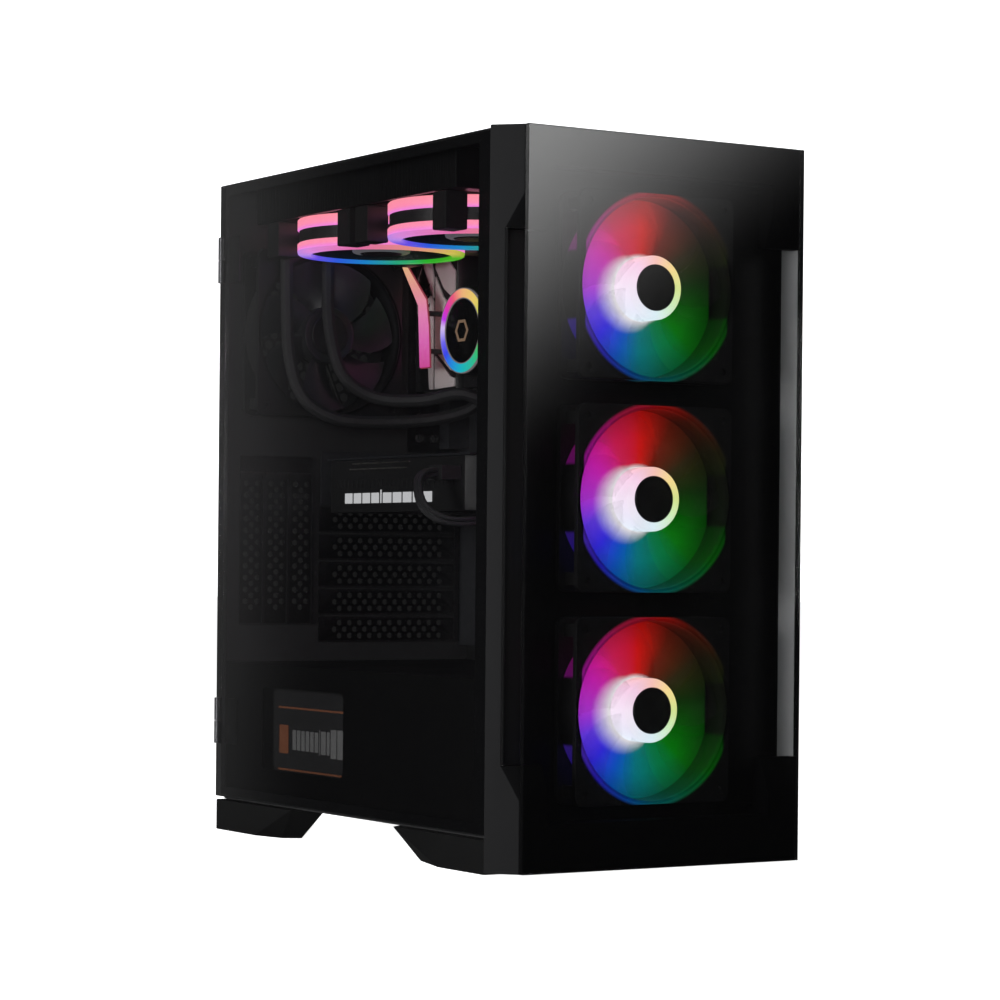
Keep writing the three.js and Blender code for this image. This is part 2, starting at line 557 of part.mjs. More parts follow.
addRightPanel();
addThumbscrew('thumbscrew_upper', SCREW_PLACES[0]);
addThumbscrew('thumbscrew_lower', SCREW_PLACES[1]);

// ---------------------------------------------------------------- front panel

const CHANNEL_DEPTH = BEZEL_DEPTH * CHANNEL_SHARE;
const CHANNEL_X = RIGHT - CHAMFER * (1 - CHANNEL_SHARE);
const WINDOW_MIDDLE = WINDOW_BOTTOM + BEZEL_OPENING[1] / 2;

// The side intake's upright outline: it narrows from the front edge to its inner boundary.
function channelOutline() {
  const middle = WINDOW_MIDDLE + CHANNEL_LIFT;
  const steep = (CHANNEL_FRONT - CHANNEL_REAR) / 2 / CHANNEL_DEPTH;
  const front = CHANNEL_FRONT / 2 + steep;
  const rear = CHANNEL_REAR / 2;
  return [
    [BEZEL_FRONT - 1, middle - front], [BEZEL_FRONT + CHANNEL_DEPTH, middle - rear],
    [SEAM + 1, middle - rear], [SEAM + 1, middle + rear],
    [BEZEL_FRONT + CHANNEL_DEPTH, middle + rear], [BEZEL_FRONT - 1, middle + front],
  ];
}

function addBezel() {
  const outline = [
    [LEFT, SEAM], [LEFT + CHAMFER, BEZEL_FRONT], [RIGHT - CHAMFER, BEZEL_FRONT], [RIGHT, SEAM],
  ];
  const block = prism('z', outline, [FLOOR_LIFT, HEIGHT]);
  const half = BEZEL_OPENING[0] / 2;
  const windowHeight = [WINDOW_BOTTOM, WINDOW_BOTTOM + BEZEL_OPENING[1]];
  const window = slab([-half, half], grown([BEZEL_FRONT, SEAM]), windowHeight);
  const channels = [
    prism('x', channelOutline(), [-CHANNEL_X, -half + 1]),
    prism('x', channelOutline(), [half - 1, CHANNEL_X]),
  ];
  const pocketX = [-half - 4, half + 4];
  const pocketY = [BEZEL_FRONT + BEZEL_FACE, SEAM + 1];
  const pockets = [
    slab(pocketX, pocketY, [FLOOR_LIFT + BEZEL_FACE, WINDOW_BOTTOM - BEZEL_FACE]),
    slab(pocketX, pocketY, [WINDOW_BOTTOM + BEZEL_OPENING[1] + BEZEL_FACE, HEIGHT - BEZEL_FACE]),
  ];
  const pegs = PEG_PLACES.map((place) => rod('y', place, PEG_RADIUS, [SEAM - 6, FRAME_BACK + 4], 12));
  addPiece('front_bezel', join(cut(block, window, channels, pockets), pegs), 'plastic');
}

function addIntakeTrim(name, side) {
  const middle = WINDOW_MIDDLE + CHANNEL_LIFT;
  const rear = CHANNEL_REAR / 2 - GAP;
  const outline = [
    [BEZEL_FRONT + CHANNEL_DEPTH, middle - rear], [SEAM + TRIM_REACH, middle - rear],
    [SEAM + TRIM_REACH, middle + rear], [BEZEL_FRONT + CHANNEL_DEPTH, middle + rear],
  ];
  const near = side * (CHANNEL_X - GAP);
  addPiece(name, prism('x', outline, ordered(near, near - side * TRIM)), 'greyTrim');
}

addBezel();
const frontPane = slab(about(0, WIDTH - 2 * CHAMFER), [FRONT, FRONT + GLASS], [FLOOR_LIFT, HEIGHT]);
addPiece('front_glass', frontPane, 'glass');
addIntakeTrim('intake_trim_left', -1);
addIntakeTrim('intake_trim_right', 1);

// ---------------------------------------------------------------- fans

// A rotor lies around its own +Z, which points out of the fan's intake side.
function rotorSolid({ radius, hub, depth, blades, chord, pitch }) {
  const core = rod('z', [0, 0], hub, [-depth / 2, depth / 2], 18);
  const root = hub - 1;
  const tip = Math.sqrt(radius * radius - chord * chord / 4) - 0.5;
  const vanes = range(blades).map((index) => {
    const vane = new THREE.BoxGeometry(tip - root, chord, 1.6);
    vane.rotateX(pitch).translate((tip + root) / 2, 0, 0).rotateZ(2 * Math.PI * index / blades);
    return solidOf(vane);
  });
  return join(core, vanes);
}

function mountDisc(bore, hub, backZ, thickness) {
  const disc = rod('z', [0, 0], hub, [backZ, backZ + thickness], 16);
  const struts = range(4).map((index) => {
    const strut = new THREE.BoxGeometry(bore - hub + 3, 5, thickness);
    strut.translate((bore + hub) / 2, 0, backZ + thickness / 2).rotateZ(Math.PI / 2 * index + 0.4);
    return solidOf(strut);
  });
  return join(disc, struts);
}

function screwHoles(length) {
  const half = FAN_HOLES / 2;
  return [[-half, -half], [half, -half], [-half, half], [half, half]].map(
    (place) => rod('z', place, 2.2, [-length, length], 6),
  );
}

function squareFrame() {
  const depth = FAN_DEPTH / 2;
  const block = prism('z', roundedOutline([0, 0], [FAN, FAN], 6, 1), [-depth, depth]);
  const bore = rod('z', [0, 0], FAN_BORE, [-depth - 1, depth + 1], 28);
  return join(cut(block, bore, screwHoles(depth + 1)), mountDisc(FAN_BORE, FAN_HUB, -depth, 3));
}

// A round light ring held between four corner blocks.
function ringFrame() {
  const depth = FAN_DEPTH / 2;
  const ring = rod('z', [0, 0], FAN / 2 - GAP, [-depth, depth], 32);
  const reach = FAN / 2;
  const blocks = [[-1, -1], [1, -1], [-1, 1], [1, 1]].map(([a, b]) => slab(
    ordered(a * reach, a * (reach - FAN_CORNER)),
    ordered(b * reach, b * (reach - FAN_CORNER)),
    [-depth, depth],
  ));
  const bore = rod('z', [0, 0], FAN_BORE - 0.5, [-depth - 1, depth + 1], 32);
  const body = cut(join(ring, blocks), bore, screwHoles(depth + 1));
  return join(body, mountDisc(FAN_BORE, FAN_HUB, -depth, 3));
}

const CASE_ROTOR = {
  radius: FAN_BORE - 2, hub: FAN_HUB, depth: FAN_DEPTH - 8, blades: 7, chord: 22, pitch: 0.6,
};

// Points a fan's +Z forward (-Y) or down (-Z).
const FACINGS = { forward: [Math.PI / 2, 0, 0], down: [Math.PI, 0, 0] };

function fanGroup(facing, place) {
  const group = new THREE.Group();
  group.rotation.set(...FACINGS[facing]);
  group.position.set(...place);
  tower.add(group);
  return group;
}

function addFan({ frame, rotor, facing, place, frameSolid, blade }) {
  const group = fanGroup(facing, place);
  addPiece(frame, frameSolid(), 'plastic', group);
  const inner = new THREE.Group();
  inner.position.z = 2;
  group.add(inner);
  addPiece(rotor, rotorSolid(CASE_ROTOR), blade, inner);
}

FRONT_FANS.forEach((height, index) => addFan({
  frame: `front_fan_frame_${index + 1}`, rotor: `front_fan_rotor_${index + 1}`,
  facing: 'forward', place: [0, FRONT_FAN_Y, height], frameSolid: squareFrame, blade: 'blade',
}));
addFan({
  frame: 'rear_fan_frame', rotor: 'rear_fan_rotor', facing: 'forward',
  place: [REAR_FAN_X, WALL_IN - GAP - FAN_DEPTH / 2, REAR_FAN_Z],
  frameSolid: squareFrame,
  blade: 'darkBlade',
});
RADIATOR_FANS.forEach((y, index) => addFan({
  frame: `radiator_fan_frame_${index + 1}`, rotor: `radiator_fan_rotor_${index + 1}`,
  facing: 'down', place: [RADIATOR_X, y, RADIATOR_FAN_Z], frameSolid: ringFrame, blade: 'blade',
}));

// ---------------------------------------------------------------- liquid cooler

const TANK = 14;
const FITTING_Y = RADIATOR_BACK - TUBE_RADIUS - 6;
const TUBES = {
  coolant_tube_a: { top: RADIATOR_X - 41, foot: 11, sag: 46 },
  coolant_tube_b: { top: RADIATOR_X - 7, foot: -7, sag: 30 },
};
const PUMP_FACE = BOARD_FACE - PUMP_HEIGHT;
const PUMP_FITTING_X = PUMP_FACE + 20;
const PUMP_FITTING_Z = PUMP_Z - PUMP_RADIUS - 8;

function addRadiator() {
  const x = [RADIATOR_X - RADIATOR[0] / 2, RADIATOR_X + RADIATOR[0] / 2];
  const y = [RADIATOR_BACK - RADIATOR[1], RADIATOR_BACK];
  const core = slab(x, y, [RADIATOR_BOTTOM, RADIATOR_TOP]);
  const grooves = [RADIATOR_BOTTOM - 1, RADIATOR_TOP - 3].flatMap((z) => range(2).map((index) => {
    const middle = RADIATOR_X + (index - 0.5) * RADIATOR[0] / 2;
    return slab([middle - 26, middle + 26], [y[0] + TANK, y[1] - TANK], [z, z + 4]);
  }));
  addPiece('radiator', cut(core, grooves), 'steel');
}

function tubePoints({ top, foot, sag }) {
  const down = RADIATOR_BOTTOM - GAP;
  const low = PUMP_FITTING_Z - sag + 20;
  const footY = PUMP_Y + foot;
  return [
    [top, FITTING_Y, down], [top, FITTING_Y, down - 14], [top, FITTING_Y, down - 32],
    [top, FITTING_Y - 1, down - 60], [top + 1, FITTING_Y - 4, low + 44], [top + 8, FITTING_Y - 11, low + 16],
    [top + 28, FITTING_Y - 20, low + 2], [(top + PUMP_FITTING_X) / 2 + 10, (FITTING_Y + footY) / 2 - 4, low],
    [PUMP_FITTING_X - 18, footY + 10, low + 5], [PUMP_FITTING_X, footY, PUMP_FITTING_Z - 12],
    [PUMP_FITTING_X, footY, PUMP_FITTING_Z - GAP],
  ].map((point) => new THREE.Vector3(...point));
}

function tubeSolid(points, radius, sides, steps) {
  const section = new THREE.Shape(range(sides).map((index) => {
    const angle = 2 * Math.PI * index / sides;
    return new THREE.Vector2(radius * Math.cos(angle), radius * Math.sin(angle));
  }));
  const path = new THREE.CatmullRomCurve3(points, false, 'centripetal');
  return solidOf(new THREE.ExtrudeGeometry(section, { steps, extrudePath: path, bevelEnabled: false }));
}

function addPump() {
  const head = rod('x', [PUMP_Y, PUMP_Z], PUMP_RADIUS, [PUMP_FACE, BOARD_FACE - 14], 36);
  const base = slab([BOARD_FACE - 15, BOARD_FACE - GAP], [PUMP_Y - 38, PUMP_Y + 24], grown([PUMP_Z, PUMP_Z], 38));
  const fitting = slab([PUMP_FITTING_X - 8, PUMP_FITTING_X + 8], [PUMP_Y - 15, PUMP_Y + 19],
    [PUMP_FITTING_Z, PUMP_Z - PUMP_RADIUS + 4]);
  addPiece('pump_head', join(head, base, fitting), 'plastic');
}

addRadiator();
addPump();
for (const [name, route] of Object.entries(TUBES)) {
  addPiece(name, tubeSolid(tubePoints(route), TUBE_RADIUS, 8, 28), 'rubber');
}

// ---------------------------------------------------------------- motherboard

const CARD_TOP = FIRST_SLOT + 4;
const CARD_BOARD = [CARD_TOP - BOARD_SKIN, CARD_TOP];
const PORT_BLOCK = 18;
const COVER_Z = [PORTS_TOP - PORTS[1] + 46, PORTS_TOP - 14];

function addMotherboard() {
  const stand = (y, z) => rod('x', [y, z], 3, [BOARD_FACE + 1, BOARD_RIGHT], 8);
  const back = WALL_IN - GAP;
  const skin = slab([BOARD_FACE, BOARD_FACE + BOARD_SKIN], [BOARD_FRONT, back], [BOARD_BOTTOM, BOARD_TOP]);
  const stands = [BOARD_FRONT + 8, back - 30].flatMap(
    (y) => [BOARD_BOTTOM + 8, BOARD_TOP - 12].map((z) => stand(y, z)),
  );
  const onBoard = (depth, y, z) => slab([BOARD_FACE - depth, BOARD_FACE + 1], y, z);
  const slots = [0, 3, 5].map((index) => {
    const z = CARD_BOARD[0] + BOARD_SKIN / 2 - index * SLOT_PITCH;
    return onBoard(9, [back - 145, back - 56], [z - 3.7, z + 3.7]);
  });
  const memorySlots = range(4).map((index) => {
    const y = BOARD_FRONT + 44 + index * 9.6;
    return onBoard(6, [y - 3, y + 3], [PUMP_Z - 72, PUMP_Z + 66]);
  });
  const powerSocket = onBoard(10, [BOARD_FRONT + 3, BOARD_FRONT + 12], [PUMP_Z - 40, PUMP_Z + 14]);
  const chipSink = onBoard(12, [BOARD_FRONT + 20, BOARD_FRONT + 76], [BOARD_BOTTOM + 60, BOARD_BOTTOM + 112]);
  const driveSink = onBoard(8, [BOARD_FRONT + 100, BOARD_FRONT + 180], [FIRST_SLOT - 52, FIRST_SLOT - 26]);
  const upperSink = onBoard(26, [PUMP_Y - 50, PUMP_Y + 22], [PUMP_Z + 44, PUMP_Z + 64]);
  const ports = [
    [PORTS_TOP - PORTS[1] + 4, COVER_Z[0] - 2], [COVER_Z[0] + 4, COVER_Z[1] - 4],
  ].map((z) => slab([BOARD_FACE - PORT_BLOCK, BOARD_FACE + 1], [back - 14, back], z));
  const cardEdge = slab([SLOT_RIGHT - 4, BOARD_FACE - 2], [back - 146, back - 55],
    [CARD_BOARD[0] - GAP, CARD_BOARD[1] + GAP]);
  const whole = join(skin, stands, slots, memorySlots, powerSocket, chipSink, driveSink, upperSink, ports);
  addPiece('motherboard', cut(whole, cardEdge), 'board');
}

// The port cover's silver face stands beside the pump, clear of it and of the rear fan.
function addPortCover() {
  const back = WALL_IN - GAP - 1;
  const y = [PUMP_Y + PUMP_RADIUS + 3.5, back];
  const z = COVER_Z;
  const face = BOARD_FACE - 40;
  const outline = [
    [face, y[0] + 4], [face, y[1]], [BOARD_FACE - GAP, y[1]], [BOARD_FACE - GAP, y[0]], [face + 8, y[0]],
  ];
  const shell = prism('z', outline, z);
  const hollow = slab([face + 2, BOARD_FACE + 1], [y[0] + 3, back + 1], [z[0] + 2, z[1] - 2]);
  addPiece('io_cover', cut(shell, hollow), 'silver');
  return { face, back, z };
}

// The lit bar branches upward and stands off the cover on two posts.
function addLightBar({ face, back, z }) {
  const front = face - 18;
  const low = z[0] + 16;
  const outline = [
    [back - 49, low], [back - 36, low], [back - 33, low + 46], [back - 1, z[1] + 4],
    [back - 4, z[1] + 4], [back - 43, low + 50], [back - 47, low + 30],
  ];
  const bar = prism('x', outline, [front, front + 2]);
  const posts = [[back - 42, low + 12], [back - 41, low + 40]].map(
    (place) => rod('x', place, 2, [front + 1, face - GAP], 10),
  );
  addPiece('light_bar', join(bar, posts), 'light');
}

function addMemory() {
  range(2).forEach((index) => {
    const y = BOARD_FRONT + 44 + 9.6 * (1 + 2 * index);
    const socket = BOARD_FACE - 6 - GAP;
    const module = slab([socket - 38, socket], [y - 3.2, y + 3.2], [PUMP_Z - 69, PUMP_Z + 63]);
    const notch = slab([BOARD_FACE - 50, BOARD_FACE - 36], [y - 4, y + 4], [PUMP_Z - 20, PUMP_Z + 14]);
    addPiece(`memory_module_${index + 1}`, cut(module, notch), 'steel');
  });
}

addMotherboard();
addLightBar(addPortCover());
addMemory();

// ---------------------------------------------------------------- graphics card

const CARD_BACK = WALL_IN - GAP - SHEET - GAP;
const CARD_X = [SLOT_RIGHT - CARD[0] - 6, SLOT_RIGHT - 6];
const CARD_Y = [CARD_BACK - 3 - CARD[1], CARD_BACK - 3];
const CARD_COOLER = [CARD_BOARD[0] - GAP - CARD[2], CARD_BOARD[0] - GAP];
const CARD_FANS = [1, -1].map((side) => (CARD_Y[0] + CARD_Y[1]) / 2 + side * CARD_FAN_PITCH / 2);
const CARD_FAN_X = (CARD_X[0] + CARD_X[1]) / 2;
const CARD_FAN_DEPTH = 12;

function addCardCooler() {
  const middle = [CARD_FAN_X, (CARD_Y[0] + CARD_Y[1]) / 2];
  const block = prism('z', roundedOutline(middle, [CARD[0], CARD[1]], 6, 1), CARD_COOLER);
  const wellHeight = [CARD_COOLER[0] - 1, CARD_COOLER[0] + CARD_FAN_DEPTH + 3];
  const wells = CARD_FANS.map((y) => rod('z', [CARD_FAN_X, y], CARD_FAN, wellHeight, 32));
  addPiece('graphics_card_shroud', cut(block, wells), 'plastic');
}

function addCardBoard() {
  const skin = slab([CARD_X[0] + 1, SLOT_RIGHT], [CARD_Y[0] + 1, CARD_BACK - GAP], CARD_BOARD);
  const edge = slab([SLOT_RIGHT - 1, BOARD_FACE - 3], [WALL_IN - GAP - 144, WALL_IN - GAP - 57], CARD_BOARD);
  const bracketLow = FIRST_SLOT - SLOT_PITCH - SLOT_COVER[1] / 2;
  const bracket = slab([SLOT_MIDDLE - SLOT_COVER[0] / 2, SLOT_RIGHT], [CARD_BACK - SHEET, CARD_BACK],
    [bracketLow, FIRST_SLOT + SLOT_COVER[1] / 2]);
  addPiece('graphics_card_board', join(skin, edge, bracket), 'board');
}

function addCardFans() {
  const rotor = {
    radius: CARD_FAN - 2, hub: 17, depth: CARD_FAN_DEPTH - 2, blades: 7, chord: 18, pitch: 0.5,
  };
  CARD_FANS.forEach((y, index) => {
    const group = fanGroup('down', [CARD_FAN_X, y, CARD_COOLER[0] + CARD_FAN_DEPTH / 2 + 0.5]);
    addPiece(`graphics_card_fan_${index + 1}`, rotorSolid(rotor), 'darkBlade', group);
  });
}

// The cable leaves its plug on the card's edge, hangs in a loop and turns back to the tray.
function addCardCable() {
  const plugX = [CARD_X[0] - 16, CARD_X[0] - GAP];
  const [y, z] = [CARD_Y[0] + 19, CARD_COOLER[1] - 12];
  const plug = slab(plugX, [y - 9, y + 9], [z - 5, z + 5]);
  const turn = [
    [plugX[0] + 3, y, z], [plugX[0] - 8, y - 1, z - 1],
    [plugX[0] - 17, y - 6, z - 9], [plugX[0] - 18, y - 16, z - 24],
    [plugX[0] - 8, y - 28, z - 33], [plugX[0] + 14, y - 36, z - 33], [CARD_FAN_X, y - 40, z - 28],
    [SLOT_RIGHT - 20, y - 44, z - 22],
    [TRAY_LEFT - 12, BOARD_FRONT - 19, z - 18], [TRAY_LEFT - 1, BOARD_FRONT - 25, z - 18],
  ].map((point) => new THREE.Vector3(...point));
  addPiece('graphics_power_cable', join(plug, tubeSolid(turn, 3.6, 8, 22)), 'rubber');
}

addCardCooler();
addCardBoard();
addCardFans();
addCardCable();

// ---------------------------------------------------------------- power supply

const SWITCH = { x: PSU_LEFT + 24, z: PSU_TOP - 22, width: 15, length: 12, depth: 7, tilt: 0.17 };
const INLET = { x: PSU_LEFT + 24, z: PSU_TOP - 50, width: 25, height: 17, depth: 16 };

function addSupply() {
  const block = slab([PSU_LEFT, PSU_RIGHT], [PSU_BACK - PSU[1], PSU_BACK], [PSU_BOTTOM, PSU_TOP]);
  const well = rod('z', PSU_MIDDLE, PSU_FAN, [PSU_BOTTOM - 1, PSU_BOTTOM + 30], 32);
  const switchWell = slab(grown(about(SWITCH.x, SWITCH.width), RUNNING_GAP),
    [PSU_BACK - SWITCH.depth - 1, PSU_BACK + 1], grown(about(SWITCH.z, SWITCH.length), 1.5));
  const inlet = slab(about(INLET.x, INLET.width), [PSU_BACK - INLET.depth, PSU_BACK + 1],
    [INLET.z - INLET.height / 2, INLET.z + INLET.height / 2]);
  addPiece('psu_case', cut(block, well, switchWell, inlet), 'steel');
  const group = fanGroup('down', [PSU_MIDDLE[0], PSU_MIDDLE[1], PSU_BOTTOM + 13]);
  const rotor = { radius: PSU_FAN - 2, hub: 20, depth: 18, blades: 7, chord: 22, pitch: 0.6 };
  addPiece('psu_fan', rotorSolid(rotor), 'darkBlade', group);
}

// The rocker is a wide V on its back edge, tilted to its resting side.
function addSwitch() {
  const group = new THREE.Group();
  group.position.set(SWITCH.x, PSU_BACK - SWITCH.depth / 2, SWITCH.z);
  group.rotation.x = SWITCH.tilt;
  tower.add(group);
  const half = SWITCH.length / 2;
  const outline = [[-2.2, -2], [2.6, -half], [3.4, -half], [2.2, 0], [3.4, half], [2.6, half], [-2.2, 2]];
  addPiece('psu_switch', prism('x', outline, [-SWITCH.width / 2, SWITCH.width / 2]), 'plastic', group);
}

addSupply();
addSwitch();

// ---------------------------------------------------------------- filters, port panel, drives

// A shallow frame around a thin mesh sheet with two cross ribs.
function filterSolid(x, y, z) {
  const frame = 6;
  const middle = (x[0] + x[1]) / 2;
  const plate = slab(x, y, z);
  const recesses = [[x[0] + frame, middle - 2], [middle + 2, x[1] - frame]].flatMap((across) => {
    const centre = (y[0] + y[1]) / 2;
    return [[y[0] + frame, centre - 2], [centre + 2, y[1] - frame]].map(
      (along) => slab(across, along, [z[0] + 0.8, z[1] + 1]),
    );
  });
  return cut(plate, recesses);
}

function addFilters() {
  const topX = [CHASSIS_LEFT + TOP_FILTER_INSET, CHASSIS_LEFT + TOP_FILTER_INSET + TOP_FILTER[0]];
  const topY = [RADIATOR_Y - TOP_FILTER[1] / 2, RADIATOR_Y + TOP_FILTER[1] / 2];
  const top = filterSolid(topX, topY, [ROOF_TOP + GAP, ROOF_TOP + GAP + FILTER - GAP]);
  addPiece('top_filter', top, 'filter');
  const x = [PSU_MIDDLE[0] - BOTTOM_FILTER[0] / 2, PSU_MIDDLE[0] + BOTTOM_FILTER[0] / 2];
  const y = [WALL_IN - 4 - BOTTOM_FILTER[1], WALL_IN - 4];
  const z = [FLOOR_BOTTOM - RUNNING_GAP - FILTER, FLOOR_BOTTOM - RUNNING_GAP];
  const pull = slab([PSU_MIDDLE[0] - 20, PSU_MIDDLE[0] + 20], [WALL_IN - 5, WALL_OUT + 3], z);
  addPiece('bottom_filter', join(filterSolid(x, y, z), pull), 'filter');
}

const BUTTONS = {
  power_button: { x: -IO_PANEL[0] / 2 + 16, radius: BUTTON_RADIUS },
  reset_button: { x: -IO_PANEL[0] / 2 + 36, radius: BUTTON_RADIUS / 2 },
};
const BUTTON_LENGTH = 8;
const BUTTON_TRAVEL = 1.2;
const PANEL_LID = ROOF_TOP + GAP + 1.2;
const SOCKETS = [[6, 13.1, 5.7], [28, 13.1, 5.7], [48, 9.2, 3.4]];

function addPortPanel() {
  const y = IO_PANEL_Y;
  const middle = (y[0] + y[1]) / 2;
  const body = slab([-IO_PANEL[0] / 2, IO_PANEL[0] / 2], y, [ROOF_TOP - 22, PANEL_LID]);
  const lid = slab(grown(about(0, IO_PANEL[0]), 3), [y[0] - 1.5, y[1] + 3], [ROOF_TOP + GAP, PANEL_LID]);
  const wells = Object.values(BUTTONS).map(({ x, radius }) => rod('z', [x, middle], radius + GAP,
    [PANEL_LID - BUTTON_LENGTH - 2 * BUTTON_TRAVEL, PANEL_LID + 1], 20));
  const sockets = SOCKETS.map(([x, width, height]) => slab([x - width / 2, x + width / 2],
    [middle - height / 2, middle + height / 2], [PANEL_LID - 14, PANEL_LID + 1]));
  addPiece('io_panel', cut(join(body, lid), wells, sockets), 'plastic');
  for (const [name, { x, radius }] of Object.entries(BUTTONS)) {
    const top = PANEL_LID + GAP;
    addPiece(name, rod('z', [x, middle], radius, [top - BUTTON_LENGTH, top], 20), 'plastic');
  }
}

function addDrives() {
  const wall = SHEET;
  const x = [TRAY_LEFT - GAP - CAGE_LENGTH, TRAY_LEFT - GAP];
  const y = CAGE_Y;
  const z = CAGE_Z;
  const block = slab(x, y, z);
  const bays = range(2).map((index) => {
    const low = z[0] + wall + index * (BAY[1] + wall);
    return slab([x[0] - 1, x[1] + 1], [y[0] + wall, y[1] - wall], [low, low + BAY[1]]);
  });
  addPiece('drive_cage', cut(block, bays), 'steel');
  const sledX = [x[0] + 2, x[1] - 4];
  const sledY = [y[0] + wall + RUNNING_GAP, y[1] - wall - RUNNING_GAP];
  const sledZ = [z[0] + wall + RUNNING_GAP, z[0] + wall + RUNNING_GAP + 14];
  const tray = cut(
    slab(sledX, sledY, sledZ),
    slab([sledX[0] - 1, sledX[1] - 5], [sledY[0] + 2.5, sledY[1] - 2.5], [sledZ[0] + 2, sledZ[1] + 1]),
  );
  const grip = slab([sledX[1] - 3, sledX[1]], sledY, [sledZ[0], sledZ[0] + 30]);
  addPiece('drive_sled', join(tray, grip), 'plastic');
}

addFilters();
addPortPanel();
addDrives();

export default tower;
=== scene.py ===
"""The looks of a desktop computer tower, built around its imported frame.

Metres, +Z up. The front faces -Y and the glass door is on -X. Every place comes from the
frame's own boxes, and every size is a field of the class that uses it.
"""

import json
import logging
import math
from dataclasses import dataclass
from enum import Enum
from functools import cache

import bmesh
import bpy
from mathutils import Matrix, Vector
from mathutils.geometry import interpolate_bezier


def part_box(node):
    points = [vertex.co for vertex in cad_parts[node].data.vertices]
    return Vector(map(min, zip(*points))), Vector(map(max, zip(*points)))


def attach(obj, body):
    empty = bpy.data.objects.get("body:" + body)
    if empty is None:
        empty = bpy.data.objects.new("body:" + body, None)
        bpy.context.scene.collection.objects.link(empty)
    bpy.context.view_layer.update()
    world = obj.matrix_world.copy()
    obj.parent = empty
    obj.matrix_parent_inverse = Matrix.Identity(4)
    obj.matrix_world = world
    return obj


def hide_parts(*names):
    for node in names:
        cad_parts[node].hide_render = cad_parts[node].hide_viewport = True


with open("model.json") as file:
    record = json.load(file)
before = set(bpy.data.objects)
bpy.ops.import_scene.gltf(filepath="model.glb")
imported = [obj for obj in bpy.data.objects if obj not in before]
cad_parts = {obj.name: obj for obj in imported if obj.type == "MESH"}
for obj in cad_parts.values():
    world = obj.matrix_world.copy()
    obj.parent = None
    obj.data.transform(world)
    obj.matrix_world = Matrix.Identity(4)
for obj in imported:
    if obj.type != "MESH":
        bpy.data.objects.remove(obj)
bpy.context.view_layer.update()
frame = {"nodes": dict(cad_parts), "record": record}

LOG = logging.getLogger("tower")
MM = 0.001
SLOT_PITCH = 20.32 * MM
COVER_HEIGHT = 18.6 * MM
FAN_SIDE = 120 * MM
FAN_DEPTH = 25 * MM
FAN_SCREW = 52.5 * MM
MOTOR_RADIUS = 20.8 * MM
AXIS_HOLE = 0.1 * MM

Colour = tuple[float, float, float]
Point2 = tuple[float, float]
Point3 = tuple[float, float, float]
Stop = tuple[float, Colour]


class Facing(Enum):
    """The way that a flat sheet or a turned part faces, as the rows of its turn matrix."""

    SIDE = ((0, 0, 1), (1, 0, 0), (0, 1, 0))
    BACK = ((1, 0, 0), (0, 0, -1), (0, 1, 0))
    UP = ((1, 0, 0), (0, 1, 0), (0, 0, 1))
    DOWN = ((1, 0, 0), (0, -1, 0), (0, 0, -1))

    def placed(self, centre: Vector) -> Matrix:
        """Returns the matrix that turns a part this way and moves it to the centre."""
        return Matrix.Translation(centre) @ Matrix(self.value).to_4x4()


# ---------------------------------------------------------------- finishes


def linear(colour: Colour) -> Colour:
    """Turns a screen colour of 0 to 255 into the linear one that shaders take."""
    return tuple((channel / 255) ** 2.2 for channel in colour)


